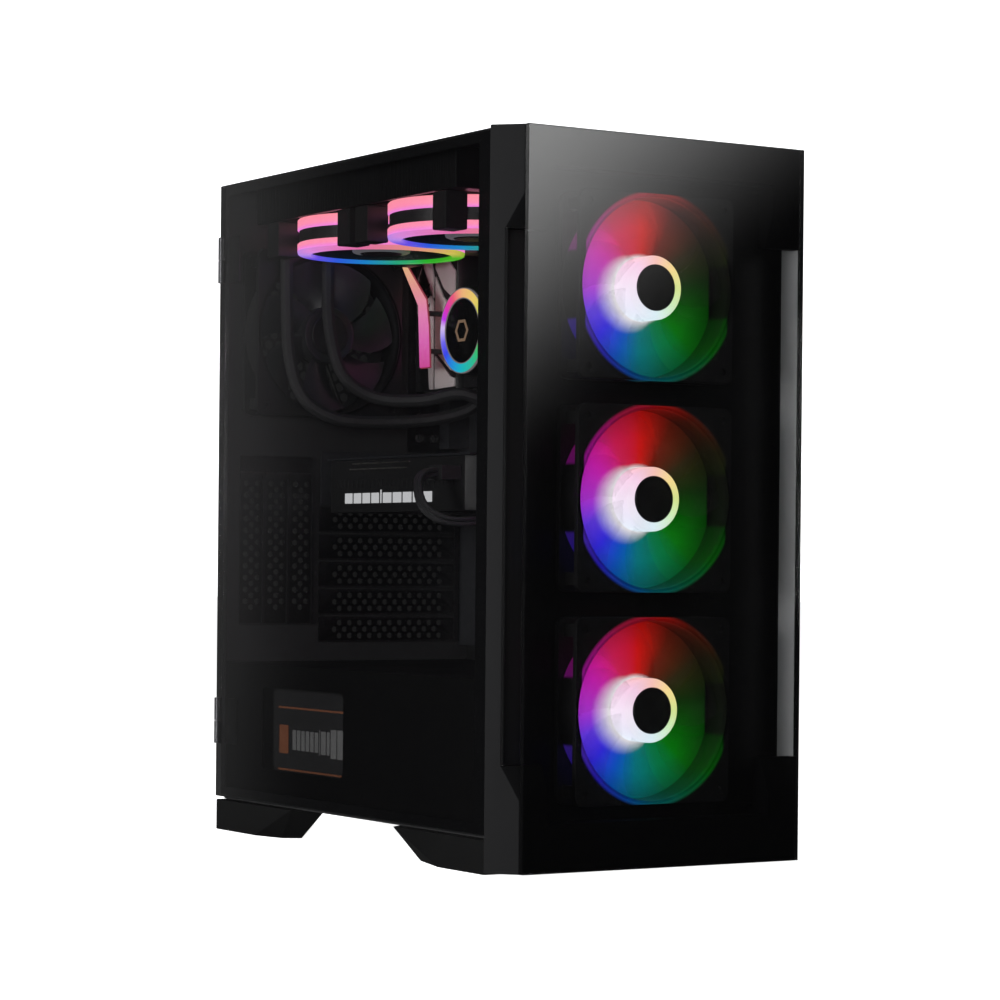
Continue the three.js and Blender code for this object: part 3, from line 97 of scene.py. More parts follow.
class NodeBench:
    """Wires one material's shader nodes.

    Args:
        name: The material's name.
    """

    def __init__(self, name: str) -> None:
        """Starts a material with an empty node tree and its output."""
        self.material = bpy.data.materials.new(name)
        self.material.use_nodes = True
        self.tree = self.material.node_tree
        self.tree.nodes.clear()
        self.output = self.tree.nodes.new("ShaderNodeOutputMaterial")

    def add(self, kind: str, inputs: dict | None = None, **settings: object) -> bpy.types.Node:
        """Adds a node.

        Args:
            kind: The node type, without its ShaderNode prefix.
            inputs: Socket values or the sockets that feed them, by name or number.
            settings: Properties of the node.

        Returns:
            The new node.
        """
        node = self.tree.nodes.new("ShaderNode" + kind)
        for key, value in settings.items():
            setattr(node, key, value)
        for key, value in (inputs or {}).items():
            if isinstance(value, bpy.types.NodeSocket):
                self.tree.links.new(value, node.inputs[key])
            else:
                node.inputs[key].default_value = value
        return node

    def maths(self, operation: str, *values: object, clamp: bool = False) -> bpy.types.NodeSocket:
        """Returns the result of one sum on numbers or sockets."""
        inputs = dict(enumerate(values))
        return self.add("Math", inputs, operation=operation, use_clamp=clamp).outputs[0]

    def vector(self, operation: str, *values: object, output: str = "Vector") -> bpy.types.NodeSocket:
        """Returns the result of one sum on vectors or sockets."""
        return self.add("VectorMath", dict(enumerate(values)), operation=operation).outputs[output]

    def noise(self, place: bpy.types.NodeSocket, scale: float, detail: float = 3) -> bpy.types.NodeSocket:
        """Returns a noise of 0 to 1 over the surface."""
        return self.add("TexNoise", {"Vector": place, "Scale": scale, "Detail": detail}).outputs["Fac"]

    def blend(self, share: object, first: object, second: object) -> bpy.types.NodeSocket:
        """Returns a mix of two colours by a share."""
        node = self.add("Mix", {0: share, 6: first, 7: second}, data_type="RGBA")
        return node.outputs[2]

    def ramp(self, share: bpy.types.NodeSocket, stops: list[Stop]) -> bpy.types.NodeSocket:
        """Makes a gradient.

        Args:
            share: Where along the gradient, 0 to 1.
            stops: Each a place of 0 to 1 and a linear colour.

        Returns:
            The colour there.
        """
        node = self.add("ValToRGB", {0: share})
        elements = node.color_ramp.elements
        elements[0].position, elements[1].position = stops[0][0], stops[-1][0]
        elements[0].color, elements[1].color = (*stops[0][1], 1), (*stops[-1][1], 1)
        for place, colour in stops[1:-1]:
            elements.new(place).color = (*colour, 1)
        return node.outputs[0]

    def finish(self, shader: bpy.types.Node) -> bpy.types.Material:
        """Wires the shader to the output and returns the material."""
        self.tree.links.new(shader.outputs[0], self.output.inputs["Surface"])
        return self.material


@dataclass(frozen=True)
class Finish:
    """A moulded, painted or metal surface with grain, patches and worn edges.

    Args:
        name: The finish's name.
        slot: The record's material slot; not used.
        colour: Linear base colour.
        roughness: Mean roughness.
        metallic: 0 or 1.
        grain: Size of the grain, as bumps per metre.
        depth: Height of the grain.
        brush: Stretches the grain along an axis, for brushed metal and fins.
        patch: Share by which the colour and the gloss vary over the surface.
        wear: How light the edges have worn.
        coat: Clear coat.
        shine: Strength of the reflection off plastic and paint.
    """

    name: str
    slot: str
    colour: Colour
    roughness: float = 0.5
    metallic: float = 0.0
    grain: float = 1400.0
    depth: float = 0.06
    brush: Point3 = (1.0, 1.0, 1.0)
    patch: float = 0.22
    wear: float = 0.10
    coat: float = 0.0
    shine: float = 0.5

    @cache
    def material(self) -> bpy.types.Material:
        """Returns the finish's material, made once."""
        bench = NodeBench(self.name)
        place = bench.add("TexCoord").outputs["Object"]
        patches = bench.noise(place, 21.0)
        low = (*(channel * (1 - self.patch) for channel in self.colour), 1)
        high = (*(channel * (1 + self.patch) for channel in self.colour), 1)
        body = bench.blend(patches, low, high)
        edges = bench.add("NewGeometry").outputs["Pointiness"]
        worn = bench.add("MapRange", {0: edges, 1: 0.53, 2: 0.62, 3: 0.0, 4: self.wear}).outputs[0]
        worn = bench.maths("MULTIPLY", worn, bench.noise(place, 160.0))
        light = (*(min(1.0, 0.22 + channel) for channel in self.colour), 1)
        colour = bench.blend(worn, body, light)
        stretched = bench.add("Mapping", {"Vector": place, "Scale": self.brush}).outputs[0]
        grain = bench.noise(stretched, self.grain, 4)
        bump = bench.add("Bump", {"Height": grain, "Strength": self.depth, "Distance": 0.0004})
        spread = self.roughness * self.patch * 0.6
        gloss = bench.add(
            "MapRange", {0: patches, 3: self.roughness - spread, 4: min(1.0, self.roughness + spread)}
        ).outputs[0]
        return bench.finish(bench.add("BsdfPrincipled", {
            "Base Color": colour, "Metallic": self.metallic, "Roughness": gloss,
            "Coat Weight": self.coat, "Specular IOR Level": self.shine, "Normal": bump.outputs[0],
        }))


@dataclass(frozen=True)
class Glass:
    """Tinted glass that is seen through.

    Args:
        name: The finish's name.
        slot: The record's material slot; not used.
        colour: Linear tint.
        alpha: How much the tint holds back.
        ior: Strength of the reflection.
    """

    name: str
    slot: str
    colour: Colour
    alpha: float
    ior: float

    @cache
    def material(self) -> bpy.types.Material:
        """Returns the glass's material, with faint smears in its gloss."""
        bench = NodeBench(self.name)
        place = bench.add("TexCoord").outputs["Object"]
        smears = bench.noise(place, 9.0, 5)
        gloss = bench.add("MapRange", {0: smears, 3: 0.02, 4: 0.05}).outputs[0]
        ripple = bench.noise(place, 5.0, 1)
        waves = bench.add("Bump", {"Height": ripple, "Strength": 0.01, "Distance": 0.002})
        return bench.finish(bench.add("BsdfPrincipled", {
            "Base Color": (*self.colour, 1), "Roughness": gloss, "Alpha": self.alpha,
            "IOR": self.ior, "Normal": waves.outputs[0],
        }))


@dataclass(frozen=True)
class Frost(Glass):
    """Clear frosted blade plastic."""

    @cache
    def material(self) -> bpy.types.Material:
        """Returns the blades' material, slightly milky in patches."""
        bench = NodeBench(self.name)
        place = bench.add("TexCoord").outputs["Object"]
        milk = bench.blend(bench.noise(place, 40.0), (0.04, 0.035, 0.045, 1), (0.06, 0.05, 0.07, 1))
        grain = bench.noise(place, 1300.0)
        frost = bench.add("Bump", {"Height": grain, "Strength": 0.08, "Distance": 0.0003})
        return bench.finish(bench.add("BsdfPrincipled", {
            "Base Color": milk, "Roughness": 0.3, "Alpha": self.alpha, "IOR": self.ior,
            "Normal": frost.outputs[0],
        }))


@dataclass(frozen=True)
class RoundGlow:
    """A lit surface whose colour runs round a centre, such as a lit fan or ring.

    Args:
        name: The finish's name.
        slot: The record's material slot; not used.
        centre: Middle of the colours, in the tower's frame.
        facing: The way the lit part's axis points.
        stops: Angle in degrees, -180 to 180, and screen colour.
        strength: Brightness.
        hub: Radius where a white halo starts, or 0 for none.
        reach: How far the halo reaches on its short and long sides.
        lean: Angle of the halo's long side, in degrees.
        rim: Radii between which the light fades out.
        edge: Share of the light left just inside the rim.
        clip: Half width beyond which the light is cut off at the sides, or 0 for none.
        core: Share of the light near the hub.
    """

    name: str
    slot: str
    centre: Point3
    facing: Facing
    stops: tuple[Stop, ...]
    strength: float = 1.0
    hub: float = 0.0
    reach: Point2 = (4 * MM, 18 * MM)
    lean: float = 200.0
    rim: Point2 = (60.5 * MM, 62.5 * MM)
    edge: float = 0.55
    clip: float = 0.0
    core: float = 1.0

    def axes(self) -> tuple[Vector, Vector]:
        """Returns the directions that angles are measured from and towards."""
        if self.facing is Facing.SIDE:
            return Vector((0, -1, 0)), Vector((0, 0, 1))
        if self.facing is Facing.BACK:
            return Vector((1, 0, 0)), Vector((0, 0, 1))
        if self.facing is Facing.DOWN:
            return Vector((1, 0, 0)), Vector((0, -1, 0))
        return Vector((1, 0, 0)), Vector((0, 1, 0))

    @cache
    def material(self) -> bpy.types.Material:
        """Returns the glowing material."""
        bench = NodeBench(self.name)
        across, up = self.axes()
        place = bench.add("TexCoord").outputs["Object"]
        arm = bench.vector("SUBTRACT", place, self.centre)
        u = bench.vector("DOT_PRODUCT", arm, across, output="Value")
        v = bench.vector("DOT_PRODUCT", arm, up, output="Value")
        squares = bench.maths("ADD", bench.maths("MULTIPLY", u, u), bench.maths("MULTIPLY", v, v))
        radius = bench.maths("SQRT", squares)
        angle = bench.maths("ARCTAN2", v, u)
        turn = bench.maths("MULTIPLY_ADD", angle, 0.5 / math.pi, 0.5)
        stops = [((degrees + 180) / 360, linear(colour)) for degrees, colour in self.stops]
        hue = bench.ramp(turn, stops)
        if self.hub:
            hue = bench.blend(self.halo(bench, u, v, radius), hue, (1, 0.97, 1, 1))
        fade = bench.add(
            "MapRange", {0: radius, 1: self.hub, 2: self.rim[0], 3: self.core, 4: self.edge},
        ).outputs[0]
        rim_ramp = {0: radius, 1: self.rim[0], 2: self.rim[1], 3: 1.0, 4: 0.0}
        rim = bench.add("MapRange", rim_ramp).outputs[0]
        if self.clip:
            past = bench.maths("SUBTRACT", bench.maths("ABSOLUTE", u), self.clip)
            inside = bench.add("MapRange", {0: past, 1: 0.0, 2: 0.8 * MM, 3: 1.0, 4: 0.0}).outputs[0]
            rim = bench.maths("MULTIPLY", rim, inside)
        mottle = bench.add("MapRange", {0: bench.noise(place, 60.0), 3: 0.88, 4: 1.1}).outputs[0]
        share = bench.maths("MULTIPLY", bench.maths("MULTIPLY", fade, rim), mottle)
        glow = bench.blend(share, (0, 0, 0, 1), hue)
        grain = bench.noise(place, 900.0)
        frost = bench.add("Bump", {"Height": grain, "Strength": 0.05, "Distance": 0.0004})
        return bench.finish(bench.add("BsdfPrincipled", {
            "Base Color": (0.005, 0.005, 0.0055, 1), "Roughness": 0.45, "Emission Color": glow,
            "Emission Strength": self.strength, "Normal": frost.outputs[0],
        }))

    def halo(self, bench: NodeBench, u: object, v: object, radius: object) -> bpy.types.NodeSocket:
        """Works out the white halo, which reaches further on its long side.

        Args:
            bench: The material's bench.
            u: Socket of the way across from the centre.
            v: Socket of the way up from the centre.
            radius: Socket of the distance from the centre.

        Returns:
            The halo's share.
        """
        lean = math.radians(self.lean)
        along = bench.maths("MULTIPLY_ADD", u, math.cos(lean), bench.maths("MULTIPLY", v, math.sin(lean)))
        along = bench.maths("DIVIDE", along, radius)
        along = bench.maths("MAXIMUM", along, 0.0)
        reach = bench.maths("MULTIPLY_ADD", along, self.reach[1] - self.reach[0], self.reach[0])
        out = bench.maths("DIVIDE", bench.maths("SUBTRACT", radius, self.hub), reach)
        share = bench.maths("SUBTRACT", 1.0, out, clamp=True)
        return bench.maths("POWER", share, 1.4)


@dataclass(frozen=True)
class BandGlow:
    """A lit surface whose colour runs along one axis.

    Args:
        name: The finish's name.
        slot: The record's material slot; not used.
        axis: 0, 1 or 2 for X, Y or Z.
        low: Where the gradient starts.
        high: Where it ends.
        stops: Share of the way and screen colour.
        strength: Brightness.
    """

    name: str
    slot: str
    axis: int
    low: float
    high: float
    stops: tuple[Stop, ...]
    strength: float = 1.0

    @cache
    def material(self) -> bpy.types.Material:
        """Returns the glowing material, slightly streaked as frosted plastic is."""
        bench = NodeBench(self.name)
        place = bench.add("TexCoord").outputs["Object"]
        along = bench.add("SeparateXYZ", {0: place}).outputs[self.axis]
        share = bench.add("MapRange", {0: along, 1: self.low, 2: self.high}).outputs[0]
        hue = bench.ramp(share, [(at, linear(colour)) for at, colour in self.stops])
        streaks = bench.add("MapRange", {0: bench.noise(place, 240.0), 3: 0.0, 4: 0.12}).outputs[0]
        glow = bench.blend(streaks, hue, (1, 0.85, 0.9, 1))
        return bench.finish(bench.add("BsdfPrincipled", {
            "Base Color": (0.05, 0.04, 0.045, 1), "Roughness": 0.4, "Emission Color": glow,
            "Emission Strength": self.strength,
        }))


def even_glow(name: str, slot: str, colour: Colour, strength: float) -> BandGlow:
    """Returns a lit finish of one screen colour."""
    return BandGlow(name, slot, 2, 0.0, 1.0, ((0.0, colour), (1.0, colour)), strength)


STEEL = Finish("painted_steel", "chassis_steel", (0.010, 0.010, 0.0105), depth=0.12, wear=0.01, shine=0.3)
# Painted light: a lighter copy of the chassis steel for the rear wall, standing in for light falling on it.
LIT_COPY_WALL_STEEL = Finish("rear_wall_painted_light", "chassis_steel", (0.028, 0.028, 0.029), depth=0.12, wear=0.01, shine=0.3)
# Painted shade: a darker copy of the chassis steel for the shroud and the front frame, standing in for shade
# on them.
SHADED_COPY_STEEL = Finish(
    "shroud_painted_shade", "chassis_steel", (0.0025, 0.0025, 0.0027), 0.45, depth=0.12, wear=0.01, shine=0.2,
)
PANEL = Finish("panel_paint", "panel_steel", (0.010, 0.010, 0.0105), 0.42, depth=0.12, wear=0.01)
HARDWARE = Finish("black_zinc", "hardware_steel", (0.03, 0.03, 0.032), 0.38, 1.0, depth=0.05, wear=0.4)
BEZEL = Finish(
    "moulded_black", "bezel_plastic", (0.003, 0.003, 0.0033), grain=2200, depth=0.10, wear=0.01, shine=0.04,
)
BUTTON = Finish("button_moulding", "bezel_plastic", (0.03, 0.03, 0.032), 0.3)
FOOT = Finish(
    "foot_moulding", "foot_plastic", (0.0015, 0.0015, 0.0016), 0.36, grain=2200, depth=0.10, wear=0.01,
    shine=0.25,
)
TRIM = Finish("grey_strip", "trim_grey", (0.78, 0.79, 0.80), 0.42, depth=0.03, wear=0.0)
TRIM_BACK = Finish("strip_back", "trim_grey", (0.003, 0.003, 0.0033), wear=0.01, shine=0.15)
FRAME = Finish("fan_moulding", "fan_frame", (0.010, 0.010, 0.0105), 0.42, shine=0.35)
BLADE = Finish("dark_blade_moulding", "dark_blade", (0.022, 0.022, 0.025), 0.34)
SILVER = Finish(
    "brushed_cover", "silver_plate", (0.86, 0.78, 0.77), 0.38, 0.1, grain=320, depth=0.25, brush=(1, 9, 0.6),
    patch=0.3,
)
RUBBER = Finish("sleeved_hose", "hose_rubber", (0.012, 0.012, 0.013), 0.62, grain=2600, depth=0.6, wear=0.0)
LEAD = Finish("sleeved_lead", "hose_rubber", (0.03, 0.03, 0.032), 0.35, grain=3000, depth=0.5, wear=0.0)
BLOCK = Finish("pump_moulding", "cooler_block", (0.012, 0.012, 0.013), 0.3)
PUMP_FACE = Finish("gloss_black", "cooler_block", (0.004, 0.004, 0.004), 0.12, depth=0.01, wear=0.0)
FINS = Finish(
    "fin_stack", "cooler_block", (0.05, 0.05, 0.052), 0.4, 1.0, grain=700, depth=1.0, brush=(0.05, 1, 0.05),
)
BOARD = Finish("board_lacquer", "board_black", (0.014, 0.015, 0.018), 0.42, grain=420, depth=0.15, coat=0.2)
SINK = Finish("anodised_sink", "board_black", (0.035, 0.036, 0.04), 0.38, 1.0, depth=0.05, wear=0.3)
SOCKET = Finish("socket_plastic", "board_black", (0.016, 0.016, 0.017), 0.45)
CONTACT = Finish("bright_contact", "board_black", (0.42, 0.40, 0.36), 0.3, 1.0, depth=0.02)
MEMORY = Finish(
    "memory_spreader", "memory_dark", (0.06, 0.06, 0.066), 0.36, 1.0, brush=(1, 8, 0.5), depth=0.2,
)
SUPPLY = Finish("supply_paint", "supply_black", (0.016, 0.016, 0.017), 0.55, depth=0.3)
COPPER = Finish("copper_stripe", "supply_black", (0.26, 0.09, 0.04), 0.4, depth=0.02)
LABEL_GREY = Finish("grey_mark", "supply_black", (0.20, 0.20, 0.20), depth=0.02, wear=0.0)
MESH = Finish("filter_weave", "filter_mesh", (0.015, 0.015, 0.016), 0.8)
PRINT = Finish("printed_border", "door_glass", (0.004, 0.004, 0.0045), 0.25, depth=0.02, wear=0.0)
FRONT_GLASS = Glass("front_tint", "front_glass", (0.002, 0.002, 0.0022), 0.42, 1.95)
DOOR_GLASS = Glass("door_tint", "door_glass", (0.002, 0.002, 0.0022), 0.34, 1.75)
FROST = Frost("frosted_blade", "lit_blade", (1, 1, 1), 0.05, 1.45)
BAR_LIGHT = even_glow("bar_light", "lit_blade", (235, 238, 240), 1.2)
LINE_LIGHT = even_glow("ring_line_light", "lit_blade", (255, 240, 245), 0.3)
MARK_LIGHT = even_glow("mark_light", "lit_blade", (190, 150, 110), 0.6)
EDGE_LIGHT = even_glow("edge_light", "light_bar", (190, 20, 60), 0.8)


# ---------------------------------------------------------------- shapes


def middle(node: str) -> Vector:
    """Returns the middle of a node's box."""
    low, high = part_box(node)
    return (low + high) / 2


def body_of(node: str) -> str:
    """Returns the name of the body that a node rides on."""
    groups = frame["record"]["behaviour"]["bodies"]
    return next(body for body, members in groups.items() if node in members)


def four_around(centre: Point2, across: float, up: float) -> list[Point2]:
    """Returns the four places that lie so far across and up from a centre."""
    return [(centre[0] + a * across, centre[1] + b * up) for a in (-1, 1) for b in (-1, 1)]


def rectangle(centre: Point2, size: Point2, radius: float = 0.0, steps: int = 4) -> list[Point2]:
    """Draws a rectangle, with rounded corners where it has a radius.

    Args:
        centre: Its middle.
        size: Its two sizes.
        radius: Radius of its corners.
        steps: Steps along each rounded corner.

    Returns:
        Its outline.
    """
    corners = [(1, 1), (-1, 1), (-1, -1), (1, -1)]
    if not radius:
        return [(centre[0] + a * size[0] / 2, centre[1] + b * size[1] / 2) for a, b in corners]
    points = []
    for quarter, (a, b) in enumerate(corners):
        for step in range(steps + 1):
            angle = (quarter + step / steps) * math.pi / 2
            points.append((
                centre[0] + a * (size[0] / 2 - radius) + radius * math.cos(angle),
                centre[1] + b * (size[1] / 2 - radius) + radius * math.sin(angle),
            ))
    return points


def circle(centre: Point2, radius: float, sides: int = 64, turn: float = 0.0) -> list[Point2]:
    """Returns a circle's outline, or a regular polygon's with few sides."""
    angles = [turn + 2 * math.pi * step / sides for step in range(sides)]
    return [(centre[0] + radius * math.cos(a), centre[1] + radius * math.sin(a)) for a in angles]


def flat_ring(inner: float, outer: float, low: float, high: float) -> list[Point2]:
    """Returns the section of a flat ring, or of a disc where the inner radius is tiny."""
    return [(inner, low), (outer, low), (outer, high), (inner, high)]


def honeycomb(centre: Point2, radius: float, cell: float, keep_out: float = 0.0) -> list[list[Point2]]:
    """Returns hexagonal holes that fill a circle.

    Args:
        centre: The circle's middle.
        radius: The circle's radius.
        cell: Distance between two holes' middles.
        keep_out: Radius of the solid middle.

    Returns:
        The holes' outlines.
    """
    holes = []
    rows = int(radius / cell) + 2
    for row in range(-rows, rows + 1):
        for column in range(-rows, rows + 1):
            x = (column + 0.5 * (row % 2)) * cell
            y = row * cell * math.sqrt(0.75)
            if keep_out < math.hypot(x, y) < radius - cell * 0.55:
                holes.append(circle((centre[0] + x, centre[1] + y), cell * 0.42, 6, math.pi / 6))
    return holes


def mesh_from(vertices: list, faces: list) -> bpy.types.Mesh:
    """Returns a mesh with smooth faces, and sharp edges where it turns sharply."""
    mesh = bpy.data.meshes.new("shape")
    mesh.from_pydata([tuple(vertex) for vertex in vertices], [], faces)
    return tidied(mesh)


def tidied(mesh: bpy.types.Mesh, bevel: float = 0.0, sharp: float = 32.0) -> bpy.types.Mesh:
    """Welds and shades a mesh, and rounds its sharp edges where a bevel is given.

    Args:
        mesh: The mesh, which is changed.
        bevel: Width of the rounded edges.
        sharp: Edges that turn by more than this many degrees are sharp.

    Returns:
        The same mesh.
    """
    shape = bmesh.new()
    shape.from_mesh(mesh)
    bmesh.ops.remove_doubles(shape, verts=shape.verts, dist=1e-6)
    limit = math.radians(sharp)
    if bevel:
        bmesh.ops.dissolve_limit(shape, angle_limit=math.radians(0.5), verts=shape.verts, edges=shape.edges)
        edges = [edge for edge in shape.edges if edge.is_manifold and edge.calc_face_angle(0) > limit]
        bmesh.ops.bevel(
            shape, geom=edges, offset=bevel, segments=2, profile=0.6, affect="EDGES", clamp_overlap=True
        )
    bmesh.ops.recalc_face_normals(shape, faces=shape.faces)
    for face in shape.faces:
        face.smooth = True
    for edge in shape.edges:
        edge.smooth = edge.is_manifold and edge.calc_face_angle(0) < limit
    shape.to_mesh(mesh)
    shape.free()
    return mesh


def softened(node: str, bevel: float = 0.4 * MM) -> bpy.types.Mesh:
    """Copies a node's own shape and rounds its edges.

    Args:
        node: The frame's node.
        bevel: Width of the rounded edges.

    Returns:
        The copy.
    """
    source = frame["nodes"][node].data
    mesh = bpy.data.meshes.new(node)
    places = [vertex.co[:] for vertex in source.vertices]
    mesh.from_pydata(places, [], [face.vertices[:] for face in source.polygons])
    return tidied(mesh, bevel)


def sheet(
    outline: list[Point2], holes: list[list[Point2]], depth: tuple[float, float], facing: Facing,
    bevel: float = 0.0, grow: float = 0.0,
) -> bpy.types.Mesh:
    """Returns a flat plate with holes.

    Args:
        outline: The plate's outline, in the two axes of its facing.
        holes: The holes' outlines.
        depth: Where the plate starts and ends along X, Y or Z, the axis that it faces.
        facing: SIDE for a plate across X, BACK across Y and UP across Z.
        bevel: Width of its rounded edges.
        grow: How far its outline is pushed out.

    Returns:
        The plate's mesh.
    """
    curve = bpy.data.curves.new("outline", "CURVE")
    curve.dimensions = "2D"
    curve.fill_mode = "BOTH"
    curve.extrude = (depth[1] - depth[0]) / 2 - bevel
    curve.bevel_depth = bevel
    curve.offset = grow - bevel
    curve.bevel_resolution = 1
    for points in [outline, *holes]:
        spline = curve.splines.new("POLY")
        spline.points.add(len(points) - 1)
        spline.use_cyclic_u = True
        for point, (u, v) in zip(spline.points, points):
            point.co = (u, v, 0, 1)
    holder = bpy.data.objects.new("outline", curve)
    mesh = bpy.data.meshes.new_from_object(holder)
    bpy.data.objects.remove(holder)
    bpy.data.curves.remove(curve)
    at = (depth[0] + depth[1]) / 2
    shift = {Facing.SIDE: (at, 0, 0), Facing.BACK: (0, at, 0)}.get(facing, (0, 0, at))
    mesh.transform(facing.placed(Vector(shift)))
    return tidied(mesh)


def on_circle(radius: float, angle: float, height: float) -> Vector:
    """Returns the place at a radius, an angle and a height."""
    return Vector((radius * math.cos(angle), radius * math.sin(angle), height))


def turned(profile: list[Point2], place: Matrix, sides: int = 72, whole: bool = True) -> bpy.types.Mesh:
    """Returns a part turned on a lathe.

    Args:
        profile: Radius and height of each point of its section.
        place: Where its own frame lies.
        sides: Steps round it.
        whole: Whether the section closes on itself, as a ring's does.

    Returns:
        The part's mesh.
    """
    count = len(profile)
    vertices = []
    for side in range(sides):
        angle = 2 * math.pi * side / sides
        for radius, height in profile:
            vertices.append(place @ on_circle(radius, angle, height))
    faces = []
    for side in range(sides):
        for index in range(count if whole else count - 1):
            a, b = side * count, (side + 1) % sides * count
            faces.append((a + index, b + index, b + (index + 1) % count, a + (index + 1) % count))
    return mesh_from(vertices, faces)


def swept(points: list[Vector], radius: float, sides: int = 12, ripple: float = 0.0) -> bpy.types.Mesh:
    """Returns a round tube along points, with closed ends.

    Args:
        points: The middle of the tube.
        radius: Its radius.
        sides: Corners of its section.
        ripple: Share by which every second ring is thinner, for a braided sleeve.

    Returns:
        The tube's mesh.
    """
    vertices = []
    normal = (points[1] - points[0]).orthogonal().normalized()
    for index, point in enumerate(points):
        ahead = points[min(index + 1, len(points) - 1)] - points[max(index - 1, 0)]
        normal = (normal - ahead * normal.dot(ahead) / ahead.length_squared).normalized()
        side = ahead.cross(normal).normalized()
        size = radius * (1 - ripple * (index % 2))
        for corner in range(sides):
            angle = 2 * math.pi * corner / sides
            vertices.append(point + size * (normal * math.cos(angle) + side * math.sin(angle)))
    faces = []
    for ring in range(len(points) - 1):
        for corner in range(sides):
            a, b = ring * sides, ring * sides + (corner + 1) % sides - corner
            faces.append((a + corner, b + corner, b + corner + sides, a + corner + sides))
    faces.append(tuple(range(sides)))
    faces.append(tuple(range(len(vertices) - sides, len(vertices))))
    return mesh_from(vertices, faces)


def smooth_path(points: list[Vector], steps: int) -> list[Vector]:
    """Draws a smooth curve.

    Args:
        points: The places that it runs through.
        steps: Steps from each of them to the next.

    Returns:
        Points along the curve.
    """
    path = []
    for index in range(len(points) - 1):
        start, end = points[index], points[index + 1]
        before = points[max(index - 1, 0)]
        after = points[min(index + 2, len(points) - 1)]
        first = start + (end - before) / 6
        second = end - (after - start) / 6
        path += interpolate_bezier(start, first, second, end, steps + 1)[:-1]
    return path + [points[-1]]


def joined(meshes: list[bpy.types.Mesh]) -> bpy.types.Mesh:
    """Joins shapes.

    Args:
        meshes: The shapes, which are used up.

    Returns:
        One mesh that holds them all.
    """
    shape = bmesh.new()
    for mesh in meshes:
        shape.from_mesh(mesh)
        bpy.data.meshes.remove(mesh)
    whole = bpy.data.meshes.new("joined")
    shape.to_mesh(whole)
    shape.free()
    return whole


def block(low: Point3, high: Point3, bevel: float = 0.3 * MM) -> bpy.types.Mesh:
    """Moulds a block with rounded edges.

    Args:
        low: Its lowest corner.
        high: Its highest corner.
        bevel: Width of the rounded edges.

    Returns:
        The block's mesh.
    """
    corners = [(x, y, z) for x in (low[0], high[0]) for y in (low[1], high[1]) for z in (low[2], high[2])]
    faces = [(0, 1, 3, 2), (4, 6, 7, 5), (0, 4, 5, 1), (2, 3, 7, 6), (0, 2, 6, 4), (1, 5, 7, 3)]
    mesh = bpy.data.meshes.new("block")
    mesh.from_pydata(corners, [], faces)
    return tidied(mesh, bevel)


def piece(name: str, mesh: bpy.types.Mesh, finish: object, body: str, *nodes: str) -> bpy.types.Object:
    """Makes a piece of the tower.

    Args:
        name: The piece's name.
        mesh: Its shape, in the tower's frame.
        finish: Its finish.
        body: The body that it moves with.
        nodes: The frame's nodes that it stands for.

    Returns:
        The piece.
    """
    mesh.name = name
    mesh.materials.clear()
    mesh.materials.append(finish.material())
    made = bpy.data.objects.new(name, mesh)
    bpy.context.scene.collection.objects.link(made)
    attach(made, body)
    evened = made.modifiers.new("even_faces", "WEIGHTED_NORMAL")
    evened.keep_sharp = True
    if nodes:
        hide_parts(*nodes)
    LOG.info("%s rides on %s, %d faces", name, body, len(mesh.polygons))
    return made


def soft_piece(node: str, finish: object, bevel: float = 0.4 * MM) -> bpy.types.Object:
    """Makes a piece that is a node's own shape with rounded edges, and returns it."""
    return piece(node + "_soft", softened(node, bevel), finish, body_of(node), node)


# ---------------------------------------------------------------- chassis


